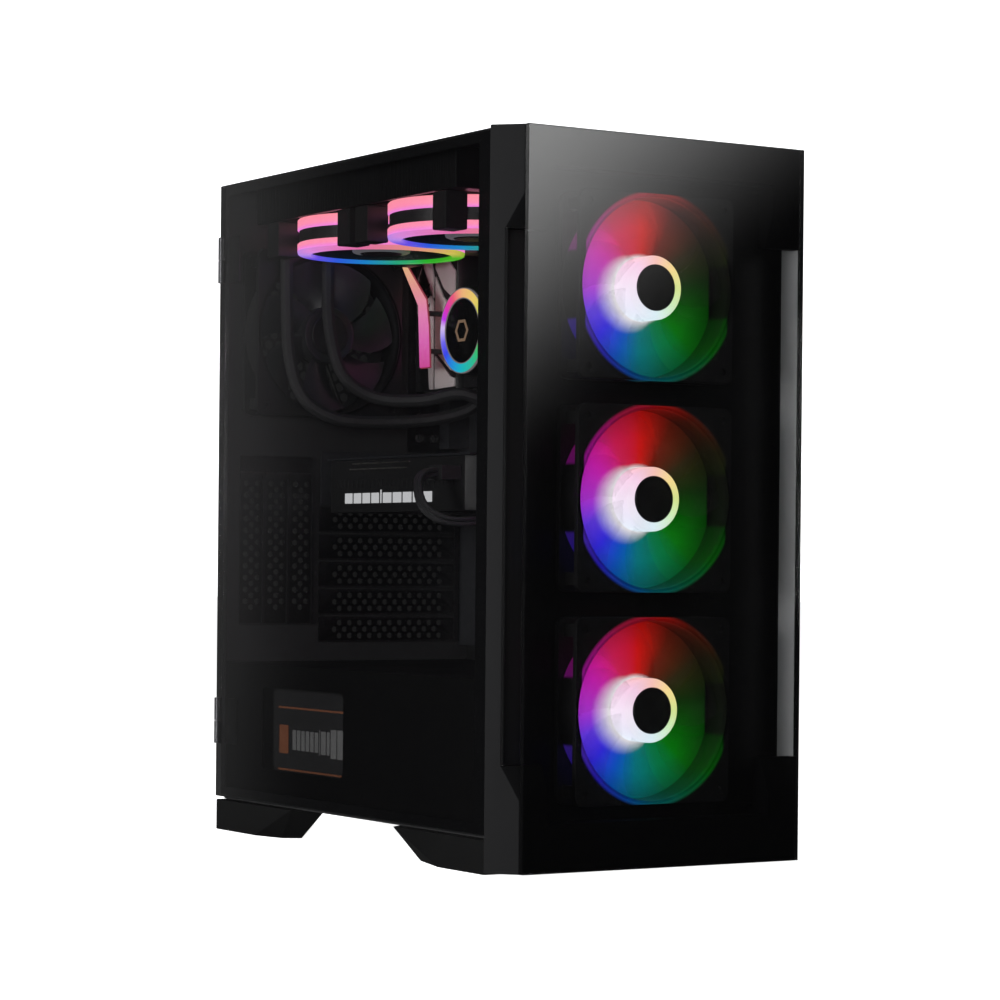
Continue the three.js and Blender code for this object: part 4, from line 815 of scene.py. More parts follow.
@dataclass
class Chassis:
    """Steel case: rear wall, floor, top, front sheet, tray, shroud, hinge brackets and feet."""

    slot_size: Point2 = (112 * MM, 15 * MM)
    upright_size: Point2 = (13 * MM, 104 * MM)
    port_size: Point2 = (44.45 * MM, 158.75 * MM)
    cell: float = 8.4 * MM
    grille: float = 57 * MM
    grille_hub: float = 9 * MM
    screw_hole: float = 2.6 * MM
    dimple: float = 4.2 * MM

    def build(self) -> None:
        """Makes every steel sheet and the feet."""
        for node in ("chassis_floor", "motherboard_tray"):
            soft_piece(node, STEEL, 0.3 * MM)
        for node in ("psu_shroud", "chassis_front_frame"):
            # Painted shade: the shroud and the front frame take the darker copy of the chassis steel.
            soft_piece(node, SHADED_COPY_STEEL, 0.3 * MM)
        for node in ("chassis_hinge_upper", "chassis_hinge_lower"):
            soft_piece(node, HARDWARE, 0.25 * MM)
        for end in ("front", "rear"):
            for side in ("left", "right"):
                soft_piece(f"foot_{end}_{side}", FOOT, 0.7 * MM)
        self.rear_wall()
        self.roof()
        self.screws()

    def rear_wall(self) -> None:
        """Makes the rear wall with its honeycomb grille, slots and openings."""
        low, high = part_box("chassis_rear_wall")
        fan = middle("rear_fan_frame")
        holes = honeycomb((fan.x, fan.z), self.grille, self.cell, self.grille_hub)
        holes += self.slots() + self.openings()
        filter_low, filter_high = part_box("bottom_filter")
        notch_top = filter_high.z + 0.6 * MM
        gap = 1.7 * MM
        outline = [
            (low.x, low.z), (filter_low.x - gap, low.z), (filter_low.x - gap, notch_top),
            (filter_high.x + gap, notch_top), (filter_high.x + gap, low.z), (high.x, low.z),
            (high.x, high.z), (low.x, high.z),
        ]
        mesh = sheet(outline, holes, (low.y, high.y), Facing.BACK)
        # Painted light: the rear wall takes the lighter copy of the chassis steel.
        piece("rear_wall_sheet", mesh, LIT_COPY_WALL_STEEL, "chassis", "chassis_rear_wall")

    def slots(self) -> list[list[Point2]]:
        """Returns the expansion slots' and the upright slots' outlines."""
        covers_low, covers_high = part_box("slot_covers")
        first = covers_high.z + 2 * SLOT_PITCH - COVER_HEIGHT / 2
        x = covers_low.x + (4 * MM + self.slot_size[0]) / 2
        rows = [rectangle((x, first - index * SLOT_PITCH), self.slot_size) for index in range(7)]
        uprights_low, uprights_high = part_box("vertical_slot_covers")
        right = uprights_high.x - (SLOT_PITCH - 2 * MM) / 2
        z = uprights_low.z + 3 * MM + self.upright_size[1] / 2
        rows += [rectangle((right - index * SLOT_PITCH, z), self.upright_size) for index in range(3)]
        return rows

    def openings(self) -> list[list[Point2]]:
        """Returns the outlines of the port, supply, fan screw and thumbscrew openings."""
        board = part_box("motherboard")[1]
        ports = (board.x - 9.2 * MM - self.port_size[0] / 2, board.z - 2 * MM - self.port_size[1] / 2)
        supply_low, supply_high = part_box("psu_case")
        supply = middle("psu_case")
        supply_size = (supply_high.x - supply_low.x - 8 * MM, supply_high.z - supply_low.z - 8 * MM)
        fan = middle("rear_fan_frame")
        screws = four_around((fan.x, fan.z), FAN_SCREW, FAN_SCREW)
        for end in ("upper", "lower"):
            thumbscrew = middle(f"thumbscrew_{end}")
            screws.append((thumbscrew.x, thumbscrew.z))
        holes = [rectangle(ports, self.port_size, 1.5 * MM)]
        holes.append(rectangle((supply.x, supply.z), supply_size, 3 * MM))
        return holes + [circle(place, self.screw_hole, 20) for place in screws]

    def roof(self) -> None:
        """Makes the top sheet with its slotted vents over the radiator."""
        low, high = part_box("chassis_top")
        panel_low, panel_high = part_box("io_panel")
        holes = [rectangle(
            ((panel_low.x + panel_high.x) / 2, (panel_low.y + 1.5 * MM + panel_high.y - 3 * MM) / 2),
            (panel_high.x - panel_low.x - 5.4 * MM, panel_high.y - panel_low.y - 3.9 * MM),
        )]
        for fan in (1, 2):
            centre = middle(f"radiator_fan_frame_{fan}")
            holes += honeycomb((centre.x, centre.y), self.grille, self.cell)
        outline = [(low.x, low.y), (high.x, low.y), (high.x, high.y), (low.x, high.y)]
        mesh = sheet(outline, holes, (low.z, high.z), Facing.UP)
        piece("top_sheet", mesh, STEEL, "chassis", "chassis_top")

    def screws(self) -> None:
        """Makes the screws of the rear fan and of the power supply."""
        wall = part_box("chassis_rear_wall")[1].y
        fan, supply = middle("rear_fan_frame"), middle("psu_case")
        places = four_around((fan.x, fan.z), FAN_SCREW, FAN_SCREW)
        places += four_around((supply.x, supply.z), 69 * MM, 37 * MM)
        piece("rear_screws", joined([self.screw(x, wall, z) for x, z in places]), HARDWARE, "chassis")

    def screw(self, x: float, wall: float, z: float) -> bpy.types.Mesh:
        """Turns a domed screw head with a round recess, standing on the rear wall.

        Args:
            x: Its place across.
            wall: The wall's outer face.
            z: Its height.

        Returns:
            The head's mesh.
        """
        rise = 1.6 * MM
        dome = [(0.9 * MM, -0.9 * MM), (self.dimple * 0.72, -0.2 * MM), (self.dimple * 0.72, rise * 0.5)]
        dome += [(self.dimple * 0.5, rise), (1.2 * MM, rise), (0.9 * MM, rise * 0.3)]
        place = Matrix.Translation(Vector((x, wall, z))) @ Matrix.Rotation(-math.pi / 2, 4, "X")
        return turned(dome, place, 20)


@dataclass
class SlotCovers:
    """Perforated blanks of the expansion slots, lying and upright."""

    cell: float = 8.6 * MM
    hole: float = 2.3 * MM
    columns: int = 11

    def build(self) -> None:
        """Makes the five lying blanks and the three upright ones."""
        low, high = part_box("slot_covers")
        right = high.x - 8 * MM
        blanks = []
        for index in range(5):
            z = high.z - COVER_HEIGHT / 2 - index * SLOT_PITCH
            outline = rectangle(((low.x + high.x) / 2, z), (high.x - low.x, COVER_HEIGHT), 1.2 * MM)
            holes = self.dots((low.x + right) / 2, z, False)
            blanks.append(sheet(outline, holes, (low.y, high.y), Facing.BACK))
        blanks.append(block((high.x - 4 * MM, low.y - 1 * MM, low.z), (high.x, low.y, high.z), 0.2 * MM))
        piece("slot_blanks", joined(blanks), HARDWARE, "chassis", "slot_covers")
        self.uprights()

    def dots(self, x: float, z: float, upright: bool) -> list[list[Point2]]:
        """Draws three staggered rows of small six-sided holes.

        Args:
            x: Middle of the rows across.
            z: Their middle's height.
            upright: Whether the rows run upwards.

        Returns:
            The holes' outlines.
        """
        holes = []
        for row in (-1, 0, 1):
            for column in range(self.columns):
                along = (column - (self.columns - 1) / 2 + 0.5 * (row % 2)) * self.cell
                across = row * self.cell * 0.56
                place = (x + across, z + along) if upright else (x + along, z + across)
                holes.append(circle(place, self.hole, 6, math.pi / 6))
        return holes

    def uprights(self) -> None:
        """Makes the three upright blanks, each with a raised rib beside it."""
        low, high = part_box("vertical_slot_covers")
        width, strip = SLOT_PITCH - 2 * MM, high.z - 12 * MM
        blanks = [block((low.x, low.y - 0.6 * MM, strip), (high.x, high.y, high.z), 0.4 * MM)]
        for index in range(3):
            x = high.x - width / 2 - index * SLOT_PITCH
            z = (low.z + strip) / 2
            outline = rectangle((x, z), (width, strip - low.z), 1.2 * MM)
            blanks.append(sheet(outline, self.dots(x, z, True), (low.y, high.y), Facing.BACK))
            rib = x + width / 2 + 0.2 * MM
            blanks.append(block((rib - MM, low.y - 2 * MM, low.z), (rib + 0.8 * MM, low.y, strip - 2 * MM)))
        piece("upright_blanks", joined(blanks), HARDWARE, "chassis", "vertical_slot_covers")


# ---------------------------------------------------------------- door, side panel, front


@dataclass
class GlassDoor:
    """Hinged side glass with its printed border."""

    border_front: float = 19 * MM
    border: float = 7 * MM
    print_depth: float = 0.25 * MM

    def build(self) -> None:
        """Makes the glass, the border print and the hinge leaves."""
        low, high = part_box("glass_door")
        piece("door_pane", softened("glass_door", 0.6 * MM), DOOR_GLASS, "door", "glass_door")
        front, rear = low.y + self.border_front, high.y - self.border
        foot, top = low.z + self.border, high.z - self.border
        window = [(front, foot), (rear, foot), (rear, top), (front, top)]
        centre = middle("glass_door")
        outline = rectangle((centre.y, centre.z), (high.y - low.y - MM, high.z - low.z - MM), 1.5 * MM)
        inner = high.x + 0.02 * MM
        mesh = sheet(outline, [window], (inner, inner + self.print_depth), Facing.SIDE)
        piece("door_border", mesh, PRINT, "door")
        for end in ("upper", "lower"):
            soft_piece(f"door_hinge_leaf_{end}", HARDWARE, 0.25 * MM)


@dataclass
class SidePanel:
    """Steel panel on the far side, with two knurled thumbscrews."""

    knurls: int = 30

    def build(self) -> None:
        """Makes the panel and its thumbscrews."""
        soft_piece("right_side_panel", PANEL, 0.6 * MM)
        for end in ("upper", "lower"):
            self.thumbscrew(f"thumbscrew_{end}")

    def thumbscrew(self, node: str) -> None:
        """Makes a thumbscrew with a knurled head and a slot.

        Args:
            node: The frame's node that it stands for.
        """
        low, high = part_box(node)
        centre = middle(node)
        radius, length = (high.x - low.x) / 2, 5.2 * MM
        points = []
        for step in range(self.knurls * 2):
            angle = math.pi * step / self.knurls
            size = radius * (1.0 if step % 2 else 0.93)
            points.append((centre.x + size * math.cos(angle), centre.z + size * math.sin(angle)))
        slot = rectangle((centre.x, centre.z), (radius * 1.2, 1.2 * MM))
        rear = sheet(points, [slot], (high.y - 1.2 * MM, high.y), Facing.BACK)
        head = sheet(points, [], (high.y - length, high.y - 1.2 * MM), Facing.BACK)
        shaft = swept([Vector((centre.x, y, centre.z)) for y in (low.y, high.y - length)], 1.9 * MM, 24)
        piece(f"{node}_knurled", joined([rear, head, shaft]), HARDWARE, "right_panel", node)


@dataclass
class FrontPanel:
    """Chamfered bezel, front glass and the grey strips of the side intakes.

    The strips' grey faces run past the strips: deeper, and further at their front corners.
    """

    deeper: float = 3.6 * MM
    past_front: float = 14 * MM
    past_rear: float = 7 * MM

    def build(self) -> None:
        """Makes the three kinds of front part."""
        soft_piece("front_bezel", BEZEL, 0.5 * MM)
        piece("front_pane", softened("front_glass", 0.5 * MM), FRONT_GLASS, "front_panel", "front_glass")
        for side in ("left", "right"):
            self.build_strip(side)

    def build_strip(self, side: str) -> None:
        """Makes a side strip, dark outside, with the grey face that shows inside the front glass.

        Args:
            side: "left" or "right".
        """
        node = f"intake_trim_{side}"
        soft_piece(node, TRIM_BACK, 0.25 * MM)
        low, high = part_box(node)
        inward = 1 if side == "left" else -1
        face = high.x if inward > 0 else low.x
        depth = sorted((face + 0.02 * MM * inward, face + 0.3 * MM * inward))
        front, rear = low.y + 1.2 * MM, high.y + self.deeper
        outline = [
            (front, low.z - self.past_front), (rear, low.z - self.past_rear),
            (rear, high.z + self.past_rear), (front, high.z + self.past_front),
        ]
        piece(f"{node}_face", sheet(outline, [], tuple(depth), Facing.SIDE), TRIM, body_of(node))


# ---------------------------------------------------------------- fans

FAN_LIGHT: tuple[Stop, ...] = (
    (-180, (184, 50, 225)), (-158, (104, 60, 245)), (-135, (55, 45, 250)), (-112, (10, 90, 205)),
    (-90, (0, 130, 140)), (-66, (0, 125, 80)), (-42, (0, 125, 14)), (-18, (0, 88, 0)),
    (8, (18, 52, 6)), (34, (52, 44, 22)), (62, (110, 34, 16)), (88, (226, 26, 22)),
    (118, (224, 34, 92)), (148, (220, 30, 190)), (180, (184, 50, 225)),
)
HUB_LIGHT: tuple[Stop, ...] = (
    (-180, (255, 238, 255)), (-90, (226, 246, 255)), (-40, (214, 246, 196)), (0, (220, 236, 150)),
    (45, (255, 226, 150)), (90, (255, 200, 190)), (135, (255, 214, 240)), (180, (255, 238, 255)),
)
RING_LIGHT: tuple[Stop, ...] = (
    (-180, (240, 150, 240)), (-152, (196, 150, 255)), (-124, (112, 84, 250)), (-98, (50, 100, 245)),
    (-72, (26, 140, 214)), (-48, (30, 172, 130)), (-20, (46, 190, 44)), (25, (80, 190, 30)),
    (60, (224, 204, 90)), (95, (250, 160, 140)), (135, (250, 120, 180)), (180, (240, 150, 240)),
)


@dataclass
class CaseFan:
    """A 120 mm fan with two flanges, a round duct, struts, a hub and swept blades.

    Args:
        stem: Start of the piece names.
        frame_node: The frame's node.
        rotor_node: The rotor's node.
        lit: Whether it glows.
        hub_strength: Brightness of a lit fan's hub.
    """

    stem: str
    frame_node: str
    rotor_node: str
    lit: bool
    hub_strength: float = 2.7
    side: float = FAN_SIDE
    depth: float = FAN_DEPTH
    bore: float = 58 * MM
    hub: float = MOTOR_RADIUS
    cap: float = 15 * MM
    flange: float = 4 * MM
    blades: int = 7
    tip: float = 55.5 * MM
    clip: float = 55 * MM

    def build(self) -> None:
        """Makes the frame, the rotor and, on a lit fan, its light."""
        self.centre = middle(self.frame_node)
        self.place = Facing.BACK.placed(self.centre)
        self.glow = self.light(2.1)
        self.build_frame()
        self.build_rotor()
        if self.lit:
            self.build_light()

    def light(self, strength: float) -> RoundGlow:
        """Returns the fan's light at a strength."""
        return RoundGlow(
            f"{self.stem}_light_{round(strength * 100)}", "lit_blade", tuple(self.centre), Facing.BACK,
            FAN_LIGHT, strength, hub=self.hub, reach=(3 * MM, 15 * MM), clip=self.clip, edge=0.4, core=1.6,
        )

    def hub_light(self) -> RoundGlow:
        """Returns the pale light of the hub's rim."""
        return RoundGlow(
            f"{self.stem}_hub_light", "lit_blade", tuple(self.centre), Facing.BACK, HUB_LIGHT,
            self.hub_strength, edge=1.0,
        )

    def build_frame(self) -> None:
        """Makes the flanges, the duct, the struts and the motor disc."""
        c, half = self.centre, self.depth / 2
        outline = rectangle((c.x, c.z), (self.side, self.side), 6 * MM)
        holes = [circle((c.x, c.z), self.bore, 96)]
        holes += [circle(place, 2.2 * MM, 20) for place in four_around((c.x, c.z), FAN_SCREW, FAN_SCREW)]
        front = sheet(outline, holes, (c.y - half, c.y - half + self.flange), Facing.BACK, 0.35 * MM)
        back = sheet(outline, holes, (c.y + half - self.flange, c.y + half), Facing.BACK, 0.35 * MM)
        duct = turned(flat_ring(self.bore, self.side / 2 - 0.4 * MM, -half, half), self.place, 96)
        posts = []
        for x, z in four_around((c.x, c.z), FAN_SCREW - MM, FAN_SCREW - MM):
            corner = Vector((4 * MM, half - 2 * MM, 4 * MM))
            posts.append(block(Vector((x, c.y, z)) - corner, Vector((x, c.y, z)) + corner))
        finish = self.glow if self.lit else FRAME
        piece(f"{self.stem}_front_flange", front, finish, "chassis", self.frame_node)
        piece(f"{self.stem}_frame", joined([back, *posts, *self.struts()]), FRAME, "chassis")
        piece(f"{self.stem}_duct", duct, self.light(0.84) if self.lit else FRAME, "chassis")

    def struts(self) -> list[bpy.types.Mesh]:
        """Returns the motor disc and the four struts that hold it."""
        back = -self.depth / 2
        parts = [turned(flat_ring(AXIS_HOLE, self.hub, back, back + 3 * MM), self.place, 48)]
        for index in range(4):
            angle = math.pi / 2 * index + 0.4
            ends = [self.hub - MM, self.bore + 0.8 * MM]
            path = [self.place @ on_circle(radius, angle, back + 1.6 * MM) for radius in ends]
            parts.append(swept(path, 1.6 * MM, 10))
        return parts

    def build_rotor(self) -> None:
        """Makes the hub, the centre cap and the blades."""
        body = body_of(self.rotor_node)
        low, high = -6.5 * MM, 10.5 * MM
        hub = turned([
            (self.cap - MM, low), (self.hub, low), (self.hub, high - 2 * MM),
            (self.hub - 0.6 * MM, high - 0.6 * MM), (self.hub - 2 * MM, high), (self.cap, high),
            (self.cap - MM, high - MM),
        ], self.place)
        cap = turned([
            (0.05 * MM, low + MM), (self.cap - 1.2 * MM, low + MM), (self.cap, high - 1.2 * MM),
            (self.cap, high + 0.2 * MM), (self.cap - 0.8 * MM, high + 0.8 * MM), (0.05 * MM, high + 0.8 * MM),
        ], self.place)
        blades = joined([self.blade(2 * math.pi * index / self.blades) for index in range(self.blades)])
        hub_finish = self.hub_light() if self.lit else BLADE
        blade_finish = FROST if self.lit else BLADE
        piece(f"{self.stem}_hub", hub, hub_finish, body, self.rotor_node)
        piece(f"{self.stem}_cap", cap, FRAME, body)
        piece(f"{self.stem}_blades", blades, blade_finish, body)

    def blade(self, turn: float) -> bpy.types.Mesh:
        """Shapes a curved blade that sweeps forward towards its tip.

        Args:
            turn: Its place round the hub, in radians.

        Returns:
            The blade's mesh.
        """
        root, spans, chords = self.hub - 0.6 * MM, 9, 7
        vertices = []
        for face in (1, -1):
            for span in range(spans + 1):
                s = span / spans
                radius = root + (self.tip - root) * s
                width = math.radians(46 - 9 * s)
                sweep = math.radians(16) * s * s
                for chord in range(chords + 1):
                    t = chord / chords - 0.5
                    angle = turn + sweep + t * width
                    rise = 2 * MM - 10 * MM * t * (1 - 0.25 * s) + 2 * MM * (0.25 - t * t)
                    rise += face * 0.7 * MM * (1.05 - 3.6 * t * t) * (1 - 0.4 * s)
                    vertices.append(self.place @ on_circle(radius, angle, rise))
        row, half = chords + 1, (spans + 1) * (chords + 1)
        faces = []
        for span in range(spans):
            for chord in range(chords):
                a = span * row + chord
                faces.append((a, a + 1, a + row + 1, a + row))
                faces.append((half + a, half + a + row, half + a + row + 1, half + a + 1))
        edge = [span * row for span in range(spans + 1)]
        loops = [edge, [a + chords for a in edge], list(range(row)), list(range(spans * row, half))]
        for loop in loops:
            faces += [(a, b, half + b, half + a) for a, b in zip(loop, loop[1:])]
        return mesh_from(vertices, faces)

    def build_light(self) -> None:
        """Makes the frosted light ring behind the blades."""
        back = -self.depth / 2 + 3.8 * MM
        section = flat_ring(self.hub - MM, self.bore - 0.2 * MM, back, back + 0.6 * MM)
        piece(f"{self.stem}_light_ring", turned(section, self.place, 96), self.glow, "chassis")


@dataclass
class RingFan:
    """A radiator fan: a round body with two lit bands, a lit ring below and corner blocks.

    Args:
        number: 1 is the rear one.
    """

    number: int
    side: float = FAN_SIDE
    depth: float = FAN_DEPTH
    bore: float = 57 * MM
    band: float = 8.2 * MM
    inset: float = 1.2 * MM
    corner: float = 17 * MM
    inner_ring: float = 50.5 * MM
    lip: float = 2.6 * MM

    def build(self) -> None:
        """Makes the fan's body, lights and rotor."""
        node = f"radiator_fan_frame_{self.number}"
        self.stem = f"radiator_fan_{self.number}"
        self.centre = middle(node)
        self.place = Facing.UP.placed(self.centre)
        half, outer = self.depth / 2, self.side / 2 - 0.4 * MM
        body = turned(flat_ring(self.bore, outer - self.inset, MM - half, half - MM), self.place, 96)
        piece(f"{self.stem}_body", joined([body, *self.corners(), *self.struts()]), FRAME, "chassis", node)
        for word, low in (("lower", self.lip - half), ("upper", half - self.band)):
            self.build_band(word, low, outer)
        self.build_under_ring(-half, outer)
        self.build_rotor()

    def build_band(self, word: str, low: float, outer: float) -> None:
        """Makes a lit band round the body, broken by nothing but the corner blocks.

        Args:
            word: "lower" or "upper".
            low: Where it starts, from the fan's middle.
            outer: Its radius.
        """
        high, soft = low + self.band - (self.lip if word == "lower" else 0), 0.8 * MM
        ring = turned([
            (outer - self.inset, low), (outer - soft, low), (outer, low + soft), (outer, high - soft),
            (outer - soft, high), (outer - self.inset, high),
        ], self.place, 96)
        start = self.centre.z + low
        glow = BandGlow(
            f"{self.stem}_{word}_light", "lit_blade", 2, start, start + self.band,
            ((0.0, (240, 120, 220)), (0.35, (255, 130, 170)), (1.0, (255, 134, 150))), 2.2,
        )
        piece(f"{self.stem}_{word}_band", ring, glow, "chassis")

    def build_under_ring(self, low: float, outer: float) -> None:
        """Makes the rainbow ring on the underside, with its slanted lip.

        Args:
            low: The underside, from the fan's middle.
            outer: The fan's radius.
        """
        high = low + self.lip - 0.1 * MM
        ring = turned([
            (self.inner_ring, low), (outer - 1.6 * MM, low), (outer - 0.5 * MM, low + 0.6 * MM),
            (outer, high), (outer - 2 * MM, high), (self.inner_ring, low + 2.2 * MM),
        ], self.place, 96)
        glow = RoundGlow(
            f"{self.stem}_under_light", "lit_blade", tuple(self.centre), Facing.DOWN, RING_LIGHT, 1.8,
            edge=1.0, rim=(64 * MM, 66 * MM),
        )
        piece(f"{self.stem}_under_ring", ring, glow, "chassis")

    def corners(self) -> list[bpy.types.Mesh]:
        """Returns the four corner blocks."""
        c, reach, half = self.centre, self.side / 2, self.depth / 2
        blocks = []
        for a in (-1, 1):
            for b in (-1, 1):
                x = sorted((c.x + a * reach, c.x + a * (reach - self.corner)))
                y = sorted((c.y + b * reach, c.y + b * (reach - self.corner)))
                blocks.append(block((x[0], y[0], c.z - half), (x[1], y[1], c.z + half), 1.2 * MM))
        return blocks

    def struts(self) -> list[bpy.types.Mesh]:
        """Returns the motor disc and its struts, on the radiator's side."""
        top = self.depth / 2
        parts = [turned(flat_ring(AXIS_HOLE, MOTOR_RADIUS, top - 3 * MM, top), self.place, 48)]
        for index in range(4):
            angle = math.pi / 2 * index - 0.4
            ends = (20 * MM, self.bore + MM)
            path = [self.place @ on_circle(radius, angle, top - 1.7 * MM) for radius in ends]
            parts.append(swept(path, 1.6 * MM, 10))
        return parts

    def build_rotor(self) -> None:
        """Makes the rotor, which is a case fan's turned face down."""
        frame_node, rotor_node = (f"radiator_fan_{kind}_{self.number}" for kind in ("frame", "rotor"))
        maker = CaseFan(self.stem, frame_node, rotor_node, True, hub_strength=0.2)
        maker.centre = self.centre
        maker.place = Facing.DOWN.placed(self.centre)
        maker.build_rotor()


# ---------------------------------------------------------------- liquid cooler

PUMP_LIGHT: tuple[Stop, ...] = (
    (-180, (200, 180, 255)), (-165, (120, 110, 255)), (-145, (60, 70, 250)), (-120, (40, 150, 235)),
    (-90, (30, 190, 200)), (-40, (60, 200, 120)), (0, (150, 210, 90)), (50, (250, 220, 110)),
    (90, (255, 190, 130)), (118, (250, 90, 130)), (142, (240, 60, 190)), (160, (200, 60, 250)),
    (172, (225, 200, 255)), (180, (200, 180, 255)),
)


@dataclass
class Cooler:
    """Radiator, sleeved hoses and the pump head with its lit ring."""

    tank: float = 14 * MM
    fin_pitch: float = 2.2 * MM
    fin_reach: float = 34 * MM
    ring: Point2 = (23.6 * MM, 30.6 * MM)

    def build(self) -> None:
        """Makes the radiator, the hoses and the pump."""
        soft_piece("radiator", FINS, 1.0 * MM)
        self.build_fins()
        for word in ("a", "b"):
            self.build_hose(f"coolant_tube_{word}")
        self.build_pump()

    def build_fins(self) -> None:
        """Makes the two rows of fins in the radiator's lower face."""
        low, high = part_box("radiator")
        fins = []
        count = int((high.y - low.y - 2 * self.tank) / self.fin_pitch)
        for index in range(count):
            y = low.y + self.tank + (index + 0.5) * self.fin_pitch
            for x in (low.x + self.fin_reach, high.x - self.fin_reach):
                outline = rectangle((x, low.z + 1.6 * MM), (50 * MM, 2.4 * MM))
                fins.append(sheet(outline, [], (y - 0.15 * MM, y + 0.15 * MM), Facing.BACK))
        piece("radiator_fins", joined(fins), FINS, "chassis")

    def build_hose(self, node: str) -> None:
        """Makes a hose: its node's own tube, rounded into a smooth sleeve.

        Args:
            node: The frame's node.
        """
        made = piece(f"{node}_sleeve", softened(node), RUBBER, "chassis", node)
        rounding = made.modifiers.new("rounding", "SUBSURF")
        rounding.levels = rounding.render_levels = 2

    def build_pump(self) -> None:
        """Makes the pump's body, its black face, the lit ring and a plain hexagon mark."""
        soft_piece("pump_head", BLOCK, 1.0 * MM)
        centre = self.face_centre()
        place = Matrix.Translation(centre) @ Matrix.Rotation(-math.pi / 2, 4, "Y")
        inner, outer = self.ring
        rise, line, well = 1.4 * MM, 0.3 * MM, 1.6 * MM
        glow = RoundGlow(
            "pump_ring_light", "lit_blade", tuple(centre), Facing.SIDE, PUMP_LIGHT, 1.9, edge=1.0,
            rim=(50 * MM, 60 * MM),
        )
        piece("pump_light_ring", turned(flat_ring(inner, outer, 0, rise), place, 96), glow, "chassis")
        sections = [flat_ring(radius - line, radius + line, 0, rise + 0.2 * MM) for radius in self.ring]
        lines = [turned(section, place, 96) for section in sections]
        piece("pump_ring_lines", joined(lines), LINE_LIGHT, "chassis")
        face = [(inner - 0.4 * MM, 0), (inner - 0.4 * MM, MM), (inner - 2 * MM, well)]
        face = [(0.05 * MM, 0), *face, (0.05 * MM, well)]
        piece("pump_face", turned(face, place, 96), PUMP_FACE, "chassis")
        outline, hole = (circle((centre.y, centre.z), radius, 6) for radius in (9 * MM, 6.6 * MM))
        mark = sheet(outline, [hole], (centre.x - 1.9 * MM, centre.x - well), Facing.SIDE)
        piece("pump_hexagon", mark, MARK_LIGHT, "chassis")

    def face_centre(self) -> Vector:
        """Returns the middle of the pump's round face, from the outermost corners of its node."""
        places = [vertex.co for vertex in frame["nodes"]["pump_head"].data.vertices]
        face = min(place.x for place in places)
        rim = [place for place in places if place.x - face < 0.01 * MM]
        ys, zs = [place.y for place in rim], [place.z for place in rim]
        return Vector((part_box("pump_head")[0].x, (min(ys) + max(ys)) / 2, (min(zs) + max(zs)) / 2))


# ---------------------------------------------------------------- motherboard


